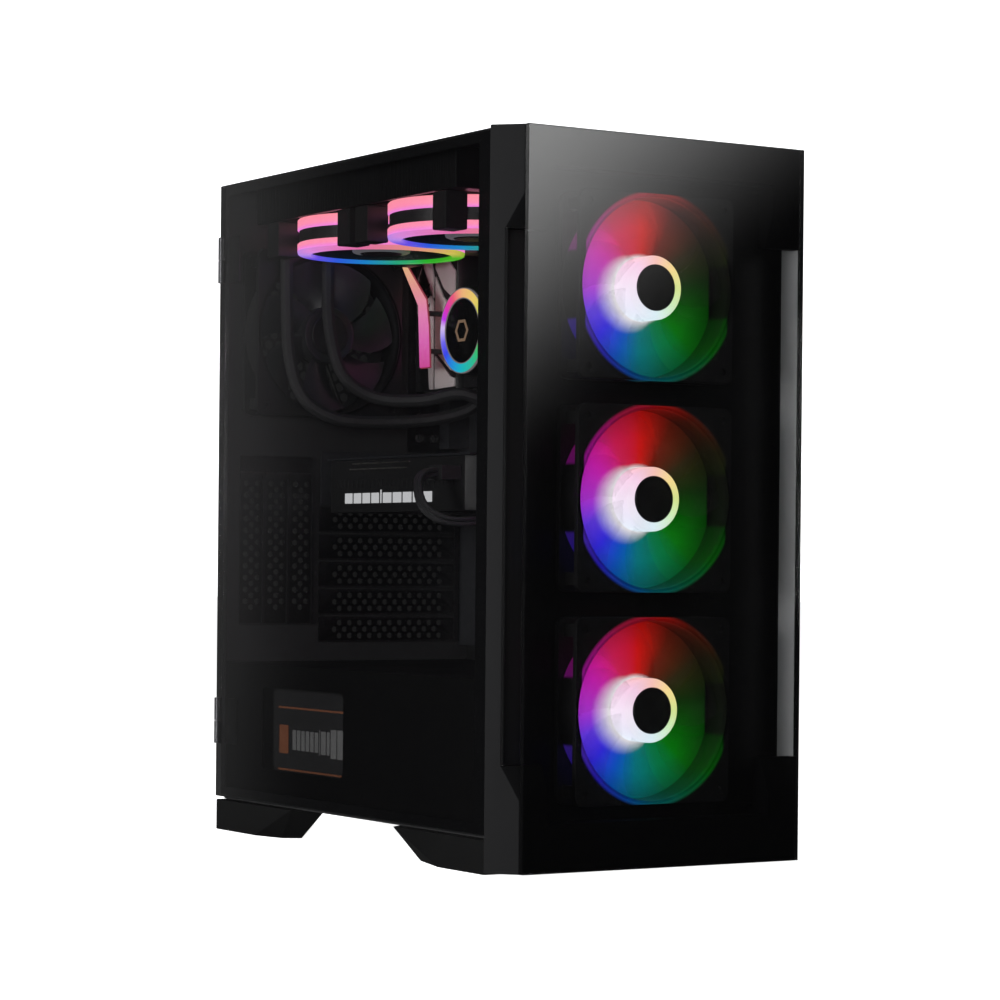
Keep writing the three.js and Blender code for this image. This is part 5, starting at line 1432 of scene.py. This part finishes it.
@dataclass
class Motherboard:
    """Board with its parts, silver port cover, light bar, memory and port shield."""

    plate: float = 1.4 * MM
    can_pitch: float = 9 * MM
    choke_pitch: float = 11 * MM

    def build(self) -> None:
        """Makes the board's pieces."""
        soft_piece("motherboard", BOARD, 0.4 * MM)
        self.build_parts()
        self.build_cover()
        self.build_light_bar()
        for number in (1, 2):
            self.build_memory(number)
        self.build_shield()

    def build_parts(self) -> None:
        """Makes the capacitors and chokes that stand on the board."""
        low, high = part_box("motherboard")
        face = high.x - 7.7 * MM
        can = [
            (0.05 * MM, 0), (2.9 * MM, 0), (3.1 * MM, MM), (2.8 * MM, 1.6 * MM), (3.1 * MM, 2.2 * MM),
            (3.1 * MM, 7.4 * MM), (2.6 * MM, 8 * MM), (0.05 * MM, 8 * MM),
        ]
        cans = []
        for row in range(5):
            for column in range(3):
                y, z = low.y + 100 * MM + column * self.can_pitch, low.z + 22 * MM + row * self.can_pitch
                place = Matrix.Translation(Vector((face, y, z))) @ Matrix.Rotation(-math.pi / 2, 4, "Y")
                cans.append(turned(can, place, 20))
        piece("board_capacitors", joined(cans), SINK, "chassis")
        chokes = []
        for index in range(8):
            y = low.y + 78 * MM + self.choke_pitch * index
            near, far = (face - 6 * MM, y, high.z - 36 * MM), (face, y + 9 * MM, high.z - 27 * MM)
            chokes.append(block(near, far, 0.8 * MM))
        piece("board_chokes", joined(chokes), SOCKET, "chassis")

    def build_cover(self) -> None:
        """Makes the port cover: a dark shell with brushed plates split by grooves."""
        low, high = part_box("io_cover")
        piece("port_cover_shell", softened("io_cover", 0.5 * MM), BLOCK, "chassis", "io_cover")

        def at(points: list[Point2]) -> list[Point2]:
            """Turns shares of the face, from its rear edge and its foot, into places.

            Args:
                points: Shares of the width and of the height.

            Returns:
                The places.
            """
            wide, tall = high.y - low.y - 4 * MM, high.z - low.z
            return [(high.y - u * wide, low.z + v * tall) for u, v in points]

        plates = [
            at([
                (0.02, 0.76), (0.20, 0.97), (0.40, 0.99), (0.46, 0.86), (0.46, 0.70), (0.20, 0.96),
                (0.02, 0.80),
            ]),
            at([
                (0.02, 0.76), (0.06, 0.60), (0.30, 0.36), (0.38, 0.01), (0.46, 0.01), (0.46, 0.67),
                (0.22, 0.92),
            ]),
            at([(0.51, 0.99), (0.82, 0.97), (0.99, 0.88), (0.99, 0.66), (0.72, 0.76), (0.51, 0.92)]),
            at([(0.51, 0.86), (0.70, 0.70), (0.99, 0.58), (0.99, 0.16), (0.90, 0.14), (0.51, 0.30)]),
            at([(0.51, 0.26), (0.88, 0.10), (0.99, 0.08), (0.99, 0.02), (0.51, 0.01)]),
        ]
        face = low.x - self.plate
        meshes = [sheet(outline, [], (face, low.x - 0.05 * MM), Facing.SIDE, 0.3 * MM) for outline in plates]
        piece("port_cover_plates", joined(meshes), SILVER, "chassis")
        ticks = []
        rear, front = 0.28, 0.38
        for index in range(6):
            v = 0.78 - 0.075 * index
            outline = at([(rear, v), (front, v + 0.035), (front, v + 0.01), (rear, v - 0.025)])
            ticks.append(sheet(outline, [], (face - 0.25 * MM, face), Facing.SIDE))
        piece("port_cover_ticks", joined(ticks), PUMP_FACE, "chassis")

    def build_light_bar(self) -> None:
        """Makes the lit bar, its deeper coloured edge and the two posts that hold it."""
        low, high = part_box("light_bar")
        glow = BandGlow(
            "branch_light", "light_bar", 2, low.z, high.z,
            ((0.0, (214, 40, 150)), (0.22, (236, 96, 190)), (0.45, (246, 130, 190)), (0.7, (250, 160, 150)),
             (1.0, (255, 214, 130))), 1.7,
        )
        shares = [(1, 0), (0.73, 0), (0.667, 0.53), (0, 1), (0.0625, 1), (0.875, 0.577), (0.958, 0.346)]
        outline = [(high.y - u * (high.y - low.y), low.z + v * (high.z - low.z)) for u, v in shares]
        front = (low.x, low.x + 1.4 * MM)
        piece("light_branch", sheet(outline, [], front, Facing.SIDE, 0.4 * MM), glow, "chassis", "light_bar")
        edge = sheet(outline, [], (front[1] + 0.05 * MM, front[1] + 0.9 * MM), Facing.SIDE, grow=0.7 * MM)
        piece("light_branch_edge", edge, EDGE_LIGHT, "chassis")
        y = high.y - 0.86 * (high.y - low.y)
        posts = []
        for z in (low.z + 12 * MM, low.z + 40 * MM):
            posts.append(swept([Vector((x, y, z)) for x in (front[1], high.x)], 2 * MM, 20))
        piece("light_branch_posts", joined(posts), BLOCK, "chassis")

    def build_memory(self, number: int) -> None:
        """Makes a memory module with a ridged spreader.

        Args:
            number: 1 or 2.
        """
        node = f"memory_module_{number}"
        low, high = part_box(node)
        soft_piece(node, MEMORY, 0.6 * MM)
        inset = 0.8 * MM
        ridges = []
        for step in range(11):
            z = low.z + (4 + 11 * step) * MM
            near, far = (low.x - 1.2 * MM, low.y + inset, z), (low.x, high.y - inset, z + 7 * MM)
            ridges.append(block(near, far, 0.4 * MM))
        piece(f"memory_ridges_{number}", joined(ridges), SINK, "chassis")

    def build_shield(self) -> None:
        """Makes the port shield in the rear wall, with its sockets."""
        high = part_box("motherboard")[1]
        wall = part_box("chassis_rear_wall")[1].y
        size = (43.8 * MM, 158 * MM)
        x, top = high.x - 9.5 * MM - size[0] / 2, high.z - 2.3 * MM
        wide, jack = 14 * MM, 3 * MM
        sockets = ((0.92, 2, 6), (0.80, 2, 6), (0.68, 1, 14), (0.56, 2, 6), (0.44, 2, 6), (0.32, 1, 15))
        jacks = ((0.17, 3, 0), (0.07, 3, 0))
        holes, inner = [], []
        for share, count, tall in sockets + jacks:
            z = top - size[1] * (1 - share)
            for index in range(count):
                at = x + (index - (count - 1) / 2) * (size[0] * 0.84 / count)
                if tall:
                    holes.append(rectangle((at, z), (wide, tall * MM), 0.6 * MM))
                    low = (at - wide * 0.4, wall - 8 * MM, z + 0.2 * MM)
                    inner.append(block(low, (at + wide * 0.4, wall - 1.4 * MM, z + 2 * MM), 0.2 * MM))
                else:
                    holes.append(circle((at, z), jack, 24))
                    spot = Matrix.Translation(Vector((at, wall - 2 * MM, z)))
                    place = spot @ Matrix.Rotation(-math.pi / 2, 4, "X")
                    inner.append(turned(flat_ring(2 * MM, jack, -3 * MM, MM), place, 24))
        outline = rectangle((x, top - size[1] / 2), size, 1 * MM)
        mesh = sheet(outline, holes, (wall - 1.0 * MM, wall - 0.3 * MM), Facing.BACK)
        piece("port_shield", mesh, SINK, "chassis")
        piece("port_sockets", joined(inner), SOCKET, "chassis")


# ---------------------------------------------------------------- graphics card


@dataclass
class GraphicsCard:
    """Two-fan graphics card with ribs, plain lit bars and a sleeved power lead."""

    line_pitch: float = 14 * MM
    rib_pitch: float = 6 * MM
    strand: float = 1.7 * MM

    def build(self) -> None:
        """Makes the card's pieces."""
        soft_piece("graphics_card_shroud", FRAME, 0.9 * MM)
        soft_piece("graphics_card_board", BOARD, 0.25 * MM)
        self.build_fins()
        self.build_bars()
        for number in (1, 2):
            self.build_fan(number)
        self.build_lead()

    def build_fins(self) -> None:
        """Makes the broken contact lines and the ribs along the card's side."""
        low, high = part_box("graphics_card_shroud")
        lines = []
        for row, (start, end) in enumerate(((0.40, 0.86), (0.42, 0.86), (0.10, 0.34))):
            z = high.z - (3.2 + 4.0 * row) * MM
            y0, y1 = low.y + start * (high.y - low.y), low.y + end * (high.y - low.y)
            count = int((y1 - y0) / self.line_pitch)
            for index in range(count):
                y = y0 + index * self.line_pitch
                far = (low.x + 0.2 * MM, y + 0.9 * self.line_pitch, z + MM)
                lines.append(block((low.x - 0.5 * MM, y, z), far, 0.15 * MM))
        piece("card_contact_lines", joined(lines), CONTACT, "chassis")
        ribs = []
        count = int((high.y - low.y - 20 * MM) / self.rib_pitch)
        for index in range(count):
            y = low.y + 10 * MM + index * self.rib_pitch
            far = (low.x + 0.3 * MM, y + 0.4 * self.rib_pitch, high.z - 14.6 * MM)
            ribs.append(block((low.x - 0.7 * MM, y, high.z - 20 * MM), far, 0.2 * MM))
        piece("card_side_ribs", joined(ribs), FRAME, "chassis")

    def build_bars(self) -> None:
        """Makes the plain lit bars along the card's side, in place of lettering."""
        low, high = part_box("graphics_card_shroud")
        z = low.z + 6.5 * MM
        widths = (10.6, 10.6, 10.6, 10.6, 1.4, 11.8, 11.8, 11.8, 11.8, 11.8)
        bars, y = [], high.y - 28 * MM
        for width in widths:
            tall = 9.5 * MM if width < 2 else 7.4 * MM
            near, far = (low.x - 0.45 * MM, y - width * MM, z), (low.x + 0.2 * MM, y, z + tall)
            bars.append(block(near, far, 0.2 * MM))
            y -= (width + 2.3) * MM
        piece("card_bars", joined(bars), BAR_LIGHT, "chassis")

    def build_fan(self, number: int) -> None:
        """Makes one of the card's fans, face down.

        Args:
            number: 1 or 2.
        """
        node = f"graphics_card_fan_{number}"
        low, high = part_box(node)
        maker = CaseFan(f"card_fan_{number}", node, node, False)
        maker.centre = (low + high) / 2
        maker.place = Facing.DOWN.placed(maker.centre) @ Matrix.Diagonal((0.72, 0.72, 0.5, 1))
        maker.build_rotor()

    def build_lead(self) -> None:
        """Makes the power lead: a plug and six sleeved strands that hang in a loop."""
        low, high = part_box("graphics_card_shroud")
        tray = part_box("motherboard_tray")[0].x
        y, z = low.y + 19 * MM, high.z - 12 * MM
        plug_x = low.x - 16 * MM
        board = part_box("motherboard")[0].y
        route = [
            (plug_x + 4 * MM, y, z), (plug_x - 8 * MM, y - MM, z - MM),
            (plug_x - 17 * MM, y - 6 * MM, z - 9 * MM),
            (plug_x - 18 * MM, y - 16 * MM, z - 24 * MM), (plug_x - 8 * MM, y - 28 * MM, z - 33 * MM),
            (plug_x + 14 * MM, y - 36 * MM, z - 33 * MM), ((low.x + high.x) / 2, y - 40 * MM, z - 28 * MM),
            (high.x - 14 * MM, y - 44 * MM, z - 22 * MM), (tray - 12 * MM, board - 19 * MM, z - 18 * MM),
            (tray - MM, board - 25 * MM, z - 18 * MM),
        ]
        plug = block((plug_x, y - 9 * MM, z - 5 * MM), (low.x - 0.3 * MM, y + 9 * MM, z + 5 * MM), 0.6 * MM)
        strands = []
        pitch = 1.89 * self.strand
        for row in (-0.5, 0.5):
            for column in (-1, 0, 1):
                offset = Vector((0, column * pitch, row * pitch))
                path = smooth_path([Vector(point) + offset for point in route], 9)
                strands.append(swept(path, self.strand * 0.92, 8, 0.10))
        piece("card_lead_plug", plug, SOCKET, "chassis", "graphics_power_cable")
        piece("card_lead", joined(strands), LEAD, "chassis")


# ---------------------------------------------------------------- power supply


@dataclass
class PowerSupply:
    """Power supply with its printed side, rear vent, inlet pins, fan and guard."""

    cell: float = 6.2 * MM
    print_rear: float = 59.5 * MM
    print_height: float = 42 * MM

    def build(self) -> None:
        """Makes the supply's pieces."""
        soft_piece("psu_case", SUPPLY, 0.6 * MM)
        soft_piece("psu_switch", SOCKET, 0.3 * MM)
        self.build_side_print()
        self.build_rear()
        self.build_fan()

    def build_side_print(self) -> None:
        """Makes the printed side: two copper lines, a square and plain bars."""
        low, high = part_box("psu_case")
        face = (low.x - 0.35 * MM, low.x - 0.05 * MM)
        rear, z = high.y - self.print_rear, low.z + self.print_height
        levels = [low.z + share * (high.z - low.z) for share in (0.75, 0.24)]
        outlines = [rectangle((rear - 54 * MM, level), (106 * MM, 1.3 * MM)) for level in levels]
        outlines.append(rectangle((rear - 9 * MM, z), (13 * MM, 20 * MM), MM))
        lines = [sheet(outline, [], face, Facing.SIDE) for outline in outlines]
        piece("supply_copper", joined(lines), COPPER, "chassis")
        bars, y = [], rear - 22 * MM
        for width, tall in ((5, 14),) * 6 + ((1, 18), (7, 16), (4, 16), (8, 20), (8, 20)):
            outline = rectangle((y - width * MM / 2, z), (width * MM, tall * MM), 0.5 * MM)
            bars.append(sheet(outline, [], face, Facing.SIDE))
            y -= (width + 1.5) * MM
        piece("supply_bars", joined(bars), LABEL_GREY, "chassis")

    def build_rear(self) -> None:
        """Makes the rear vent's honeycomb and the inlet's three pins."""
        low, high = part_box("psu_case")
        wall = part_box("chassis_rear_wall")[1].y
        vent_x = (low.x + 46 * MM, high.x - 8 * MM)
        centre = ((vent_x[0] + vent_x[1]) / 2, (low.z + high.z) / 2)
        size = (vent_x[1] - vent_x[0], high.z - low.z - 16 * MM)
        holes = []
        for row in range(-6, 7):
            for column in range(-9, 10):
                x = (column + 0.5 * (row % 2)) * self.cell
                z = row * self.cell * math.sqrt(0.75)
                if abs(x) < size[0] / 2 - self.cell * 0.6 and abs(z) < size[1] / 2 - self.cell * 0.6:
                    holes.append(circle((centre[0] + x, centre[1] + z), self.cell * 0.43, 6, math.pi / 6))
        depth = (high.y + 0.05 * MM, wall - 0.5 * MM)
        vent = sheet(rectangle(centre, size, 2 * MM), holes, depth, Facing.BACK)
        piece("supply_vent", vent, SUPPLY, "chassis")
        inlet = Vector((low.x + 24 * MM, high.y - 13 * MM, high.z - 50 * MM))
        pins = []
        for x, z in ((-7, -1.5), (0, 1.5), (7, -1.5)):
            foot = inlet + Vector((x, 0, z)) * MM
            pins.append(block(foot - Vector((1, 0, 2.4)) * MM, foot + Vector((1, 11, 2.4)) * MM, 0.3 * MM))
        piece("inlet_pins", joined(pins), CONTACT, "chassis")

    def build_fan(self) -> None:
        """Makes the supply's fan and the wire guard under it."""
        low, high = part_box("psu_fan")
        case_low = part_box("psu_case")[0]
        maker = CaseFan("supply_fan", "psu_fan", "psu_fan", False)
        maker.centre = (low + high) / 2
        maker.place = Facing.DOWN.placed(maker.centre)
        maker.build_rotor()
        place = Facing.UP.placed(Vector((maker.centre.x, maker.centre.y, case_low.z + 1.2 * MM)))
        wire = 0.7 * MM
        rings = [turned(circle((radius * MM, 0), wire, 8), place, 72) for radius in range(12, 53, 10)]
        for index in range(4):
            angle = math.pi / 4 * (2 * index + 1)
            path = [place @ on_circle(radius, angle, 0) for radius in (11 * MM, 59 * MM)]
            rings.append(swept(path, wire, 8))
        piece("supply_fan_guard", joined(rings), HARDWARE, "chassis")


# ---------------------------------------------------------------- top, filters, drives


@dataclass
class TopPanel:
    """Port panel, its two buttons, and the top and bottom dust filters."""

    weave: float = 3.2 * MM
    floor_weave: float = 168 * MM

    def build(self) -> None:
        """Makes the panel, the buttons and the filters."""
        soft_piece("io_panel", BEZEL, 0.5 * MM)
        for node in ("power_button", "reset_button"):
            self.build_button(node)
        self.build_sockets()
        for node, body in (("top_filter", "roof_filter"), ("bottom_filter", "floor_filter")):
            soft_piece(node, MESH, 0.3 * MM)
            self.build_weave(node, body)

    def build_button(self, node: str) -> None:
        """Makes a button with a dished top.

        Args:
            node: The frame's node that it stands for.
        """
        low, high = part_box(node)
        radius, tall = (high.x - low.x) / 2, high.z - low.z
        place = Facing.UP.placed(Vector(((low.x + high.x) / 2, (low.y + high.y) / 2, low.z)))
        profile = [
            (0.02 * MM, 0), (radius, 0), (radius, tall - 0.5 * MM), (radius - 0.5 * MM, tall),
            (radius * 0.7, tall - 0.15 * MM), (0.02 * MM, tall - 0.5 * MM),
        ]
        piece(f"{node}_cap", turned(profile, place, 48), BUTTON, body_of(node), node)

    def build_sockets(self) -> None:
        """Makes the tongues in the panel's sockets."""
        low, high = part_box("io_panel")
        y, foot, top = low.y + 13.5 * MM, high.z - 12 * MM, high.z - 1.5 * MM
        tongues = []
        sockets = ((6, 5.4, -0.2, 1.8, 0.2), (28, 5.4, -0.2, 1.8, 0.2), (48, 3, -0.4, 0.4, 0.1))
        for x, wide, front, rear, bevel in sockets:
            near = ((x - wide) * MM, y + front * MM, foot)
            tongues.append(block(near, ((x + wide) * MM, y + rear * MM, top), bevel * MM))
        piece("panel_socket_tongues", joined(tongues), SOCKET, "chassis")

    def build_weave(self, node: str, body: str) -> None:
        """Makes the crossed threads of a dust filter.

        Args:
            node: The filter's node.
            body: The body that it moves with.
        """
        low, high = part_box(node)
        rim, thread, thin = 6 * MM, 0.5 * MM, 0.3 * MM
        top = high.z - thin
        if node == "bottom_filter":
            high = Vector((high.x, low.y + self.floor_weave, high.z))
        wide, long = high.x - low.x - 2 * rim, high.y - low.y - 2 * rim
        meshes = []
        for index in range(1, int(wide / self.weave)):
            outline = rectangle((low.x + rim + index * self.weave, (low.y + high.y) / 2), (thread, long))
            meshes.append(sheet(outline, [], (top - 2 * thin, top - thin), Facing.UP))
        for index in range(1, int(long / self.weave)):
            outline = rectangle(((low.x + high.x) / 2, low.y + rim + index * self.weave), (wide, thread))
            meshes.append(sheet(outline, [], (top - thin, top), Facing.UP))
        piece(f"{node}_weave", joined(meshes), MESH, body)


@dataclass
class DriveBay:
    """Drive cage in the shroud, with one sled."""

    def build(self) -> None:
        """Makes the cage and the sled."""
        soft_piece("drive_cage", STEEL, 0.3 * MM)
        soft_piece("drive_sled", SOCKET, 0.5 * MM)


# ---------------------------------------------------------------- studio


@dataclass
class Studio:
    """Pale floor and backdrop, soft lights and the camera."""

    eye: Point3 = (-1.12685, -1.7938, 0.19594)
    yaw: float = 32.10
    dip: float = 0.147
    roll: float = 0.528
    lens: float = 109.93
    rise: float = 0.069
    span: float = 14.0

    def build(self) -> None:
        """Sets up everything that is not part of the tower."""
        scene = bpy.context.scene
        scene.view_settings.view_transform = "Standard"
        scene.view_settings.look = "None"
        self.build_world()
        self.build_floor()
        self.build_backdrop()
        self.build_cards()
        self.build_lights()
        self.build_camera()

    def build_world(self) -> None:
        """Sets a dim, even surround, which black gloss mirrors."""
        world = bpy.data.worlds.new("surround")
        world.use_nodes = True
        background = world.node_tree.nodes["Background"]
        background.inputs["Color"].default_value = (1, 1, 1, 1)
        background.inputs["Strength"].default_value = 0.035
        bpy.context.scene.world = world

    def plain(self, name: str, colour: Colour, glow: float) -> bpy.types.Material:
        """Makes a plain pale material that also glows, and is dark where glass stands before it.

        Args:
            name: The material's name.
            colour: Its linear colour.
            glow: Strength of its glow.

        Returns:
            The material.
        """
        bench = NodeBench(name)
        place = bench.add("TexCoord").outputs["Object"]
        pale = (*(min(1, channel * 1.02) for channel in colour), 1)
        tone = bench.blend(bench.noise(place, 0.6), (*colour, 1), pale)
        behind_glass = bench.maths("GREATER_THAN", bench.add("LightPath").outputs["Transparent Depth"], 0.5)
        light = bench.blend(behind_glass, (1, 1, 1, 1), (0.012, 0.012, 0.012, 1))
        return bench.finish(bench.add("BsdfPrincipled", {
            "Base Color": bench.blend(behind_glass, tone, (0, 0, 0, 1)), "Roughness": 0.9,
            "Emission Color": light, "Emission Strength": glow,
        }))

    def build_floor(self) -> None:
        """Makes the floor, just under the feet."""
        half = self.span
        points = [(-half, -half), (half, -half), (half, half), (-half, half)]
        floor = bpy.data.objects.new("floor", sheet(points, [], (-0.012, -0.0002), Facing.UP))
        floor.data.materials.append(self.plain("pale_floor", (0.9, 0.9, 0.9), 1.0))
        bpy.context.scene.collection.objects.link(floor)
        floor.visible_glossy = False

    def build_backdrop(self) -> None:
        """Makes a round white wall and ceiling that only the camera sees."""
        half, tall = self.span * 0.98, self.span
        wall = turned([(half, -1.0), (half, tall), (0.01, tall + 1.0)], Matrix.Identity(4), 96, False)
        backdrop = bpy.data.objects.new("backdrop", wall)
        backdrop.data.materials.append(self.plain("white_backdrop", (0.9, 0.9, 0.9), 1.2))
        bpy.context.scene.collection.objects.link(backdrop)
        for ray in ("glossy", "diffuse", "shadow", "transmission"):
            setattr(backdrop, f"visible_{ray}", False)

    def build_cards(self) -> None:
        """Makes the cards whose soft gradients the front glass and the door mirror."""
        front = sheet(rectangle((1.55, 0.45), (1.3, 2.2)), [], (-2.504, -2.5), Facing.BACK)
        self.card("front_reflector", front, (-0.62, 0, 0.78), (-0.62, -0.12), 4.2)
        side = sheet(rectangle((2.8, 0.4), (2.2, 2.0)), [], (-1.604, -1.6), Facing.SIDE)
        self.card("side_reflector", side, (0, 1, 0.2), (2.62, 3.4), 0.4)

    def card(self, name: str, mesh: bpy.types.Mesh, slant: Point3, reach: Point2, strength: float) -> None:
        """Makes one glowing card that only mirrors show.

        Args:
            name: The card's name.
            mesh: Its shape.
            slant: The direction in which it brightens.
            reach: Where along that direction it starts to glow and is brightest.
            strength: Its brightness there.
        """
        card = bpy.data.objects.new(name, mesh)
        bench = NodeBench(f"{name}_gradient")
        along = bench.vector("DOT_PRODUCT", bench.add("TexCoord").outputs["Object"], slant, output="Value")
        ramp = {0: along, 1: reach[0], 2: reach[1]}
        rise = bench.add("MapRange", ramp, interpolation_type="SMOOTHSTEP").outputs[0]
        share = bench.maths("POWER", rise, 1.6)
        glow = bench.blend(share, (0, 0, 0, 1), (1, 1, 1, 1))
        card.data.materials.append(bench.finish(bench.add("Emission", {"Color": glow, "Strength": strength})))
        bpy.context.scene.collection.objects.link(card)
        for ray in ("camera", "diffuse", "shadow", "transmission"):
            setattr(card, f"visible_{ray}", False)

    def build_lights(self) -> None:
        """Makes the four soft lights."""
        for name, place, target, size, power in (
            ("key", (-2.2, -1.6, 1.5), (0, 0, 0.25), 1.4, 6.0),
            ("top", (0.2, 0.2, 2.6), (0, 0, 0.4), 1.8, 26.0),
            ("side", (-2.2, -0.5, 0.36), (0, 0.1, 0.27), 0.9, 70.0),
            ("front", (-1.6, -2.4, 0.35), (0.1, -0.2, 0.25), 0.5, 45.0),
        ):
            lamp = bpy.data.lights.new(name, "AREA")
            lamp.energy, lamp.size, lamp.shape = power, size, "DISK"
            holder = bpy.data.objects.new(name, lamp)
            holder.location = place
            holder.rotation_euler = (Vector(target) - Vector(place)).to_track_quat("-Z", "Y").to_euler()
            bpy.context.scene.collection.objects.link(holder)

    def build_camera(self) -> None:
        """Makes the camera, which is dipped, rolled and shifted a little."""
        yaw, dip, roll = (math.radians(value) for value in (self.yaw, self.dip, self.roll))
        ahead = Vector((0, math.cos(dip), -math.sin(dip)))
        ahead.rotate(Matrix.Rotation(-yaw, 3, "Z"))
        right = Vector((math.cos(yaw), -math.sin(yaw), 0))
        up = right.cross(ahead)
        tilted_right = math.cos(roll) * right + math.sin(roll) * up
        tilted_up = math.cos(roll) * up - math.sin(roll) * right
        data = bpy.data.cameras.new("camera")
        data.lens, data.sensor_width, data.shift_y = self.lens, 36.0, self.rise
        data.clip_end = 60.0
        camera = bpy.data.objects.new("camera", data)
        turn = Matrix((tilted_right, tilted_up, -ahead)).transposed().to_4x4()
        camera.matrix_world = Matrix.Translation(Vector(self.eye)) @ turn
        bpy.context.scene.collection.objects.link(camera)
        bpy.context.scene.camera = camera


def main() -> None:
    """Builds the tower's sub-assemblies in order, then the studio."""
    logging.basicConfig(level=logging.INFO, format="%(name)s: %(message)s")
    fans = []
    for number in (1, 2, 3):
        frame_node, rotor_node = (f"front_fan_{kind}_{number}" for kind in ("frame", "rotor"))
        fans.append(CaseFan(f"front_fan_{number}", frame_node, rotor_node, True))
    fans.append(CaseFan("rear_fan", "rear_fan_frame", "rear_fan_rotor", False))
    makers = [
        Studio(), Chassis(), SlotCovers(), GlassDoor(), SidePanel(), FrontPanel(), *fans, RingFan(1),
        RingFan(2), Cooler(), Motherboard(), GraphicsCard(), PowerSupply(), TopPanel(), DriveBay(),
    ]
    for maker in makers:
        LOG.info("building %s", type(maker).__name__)
        maker.build()


if __name__ == "__main__":
    main()
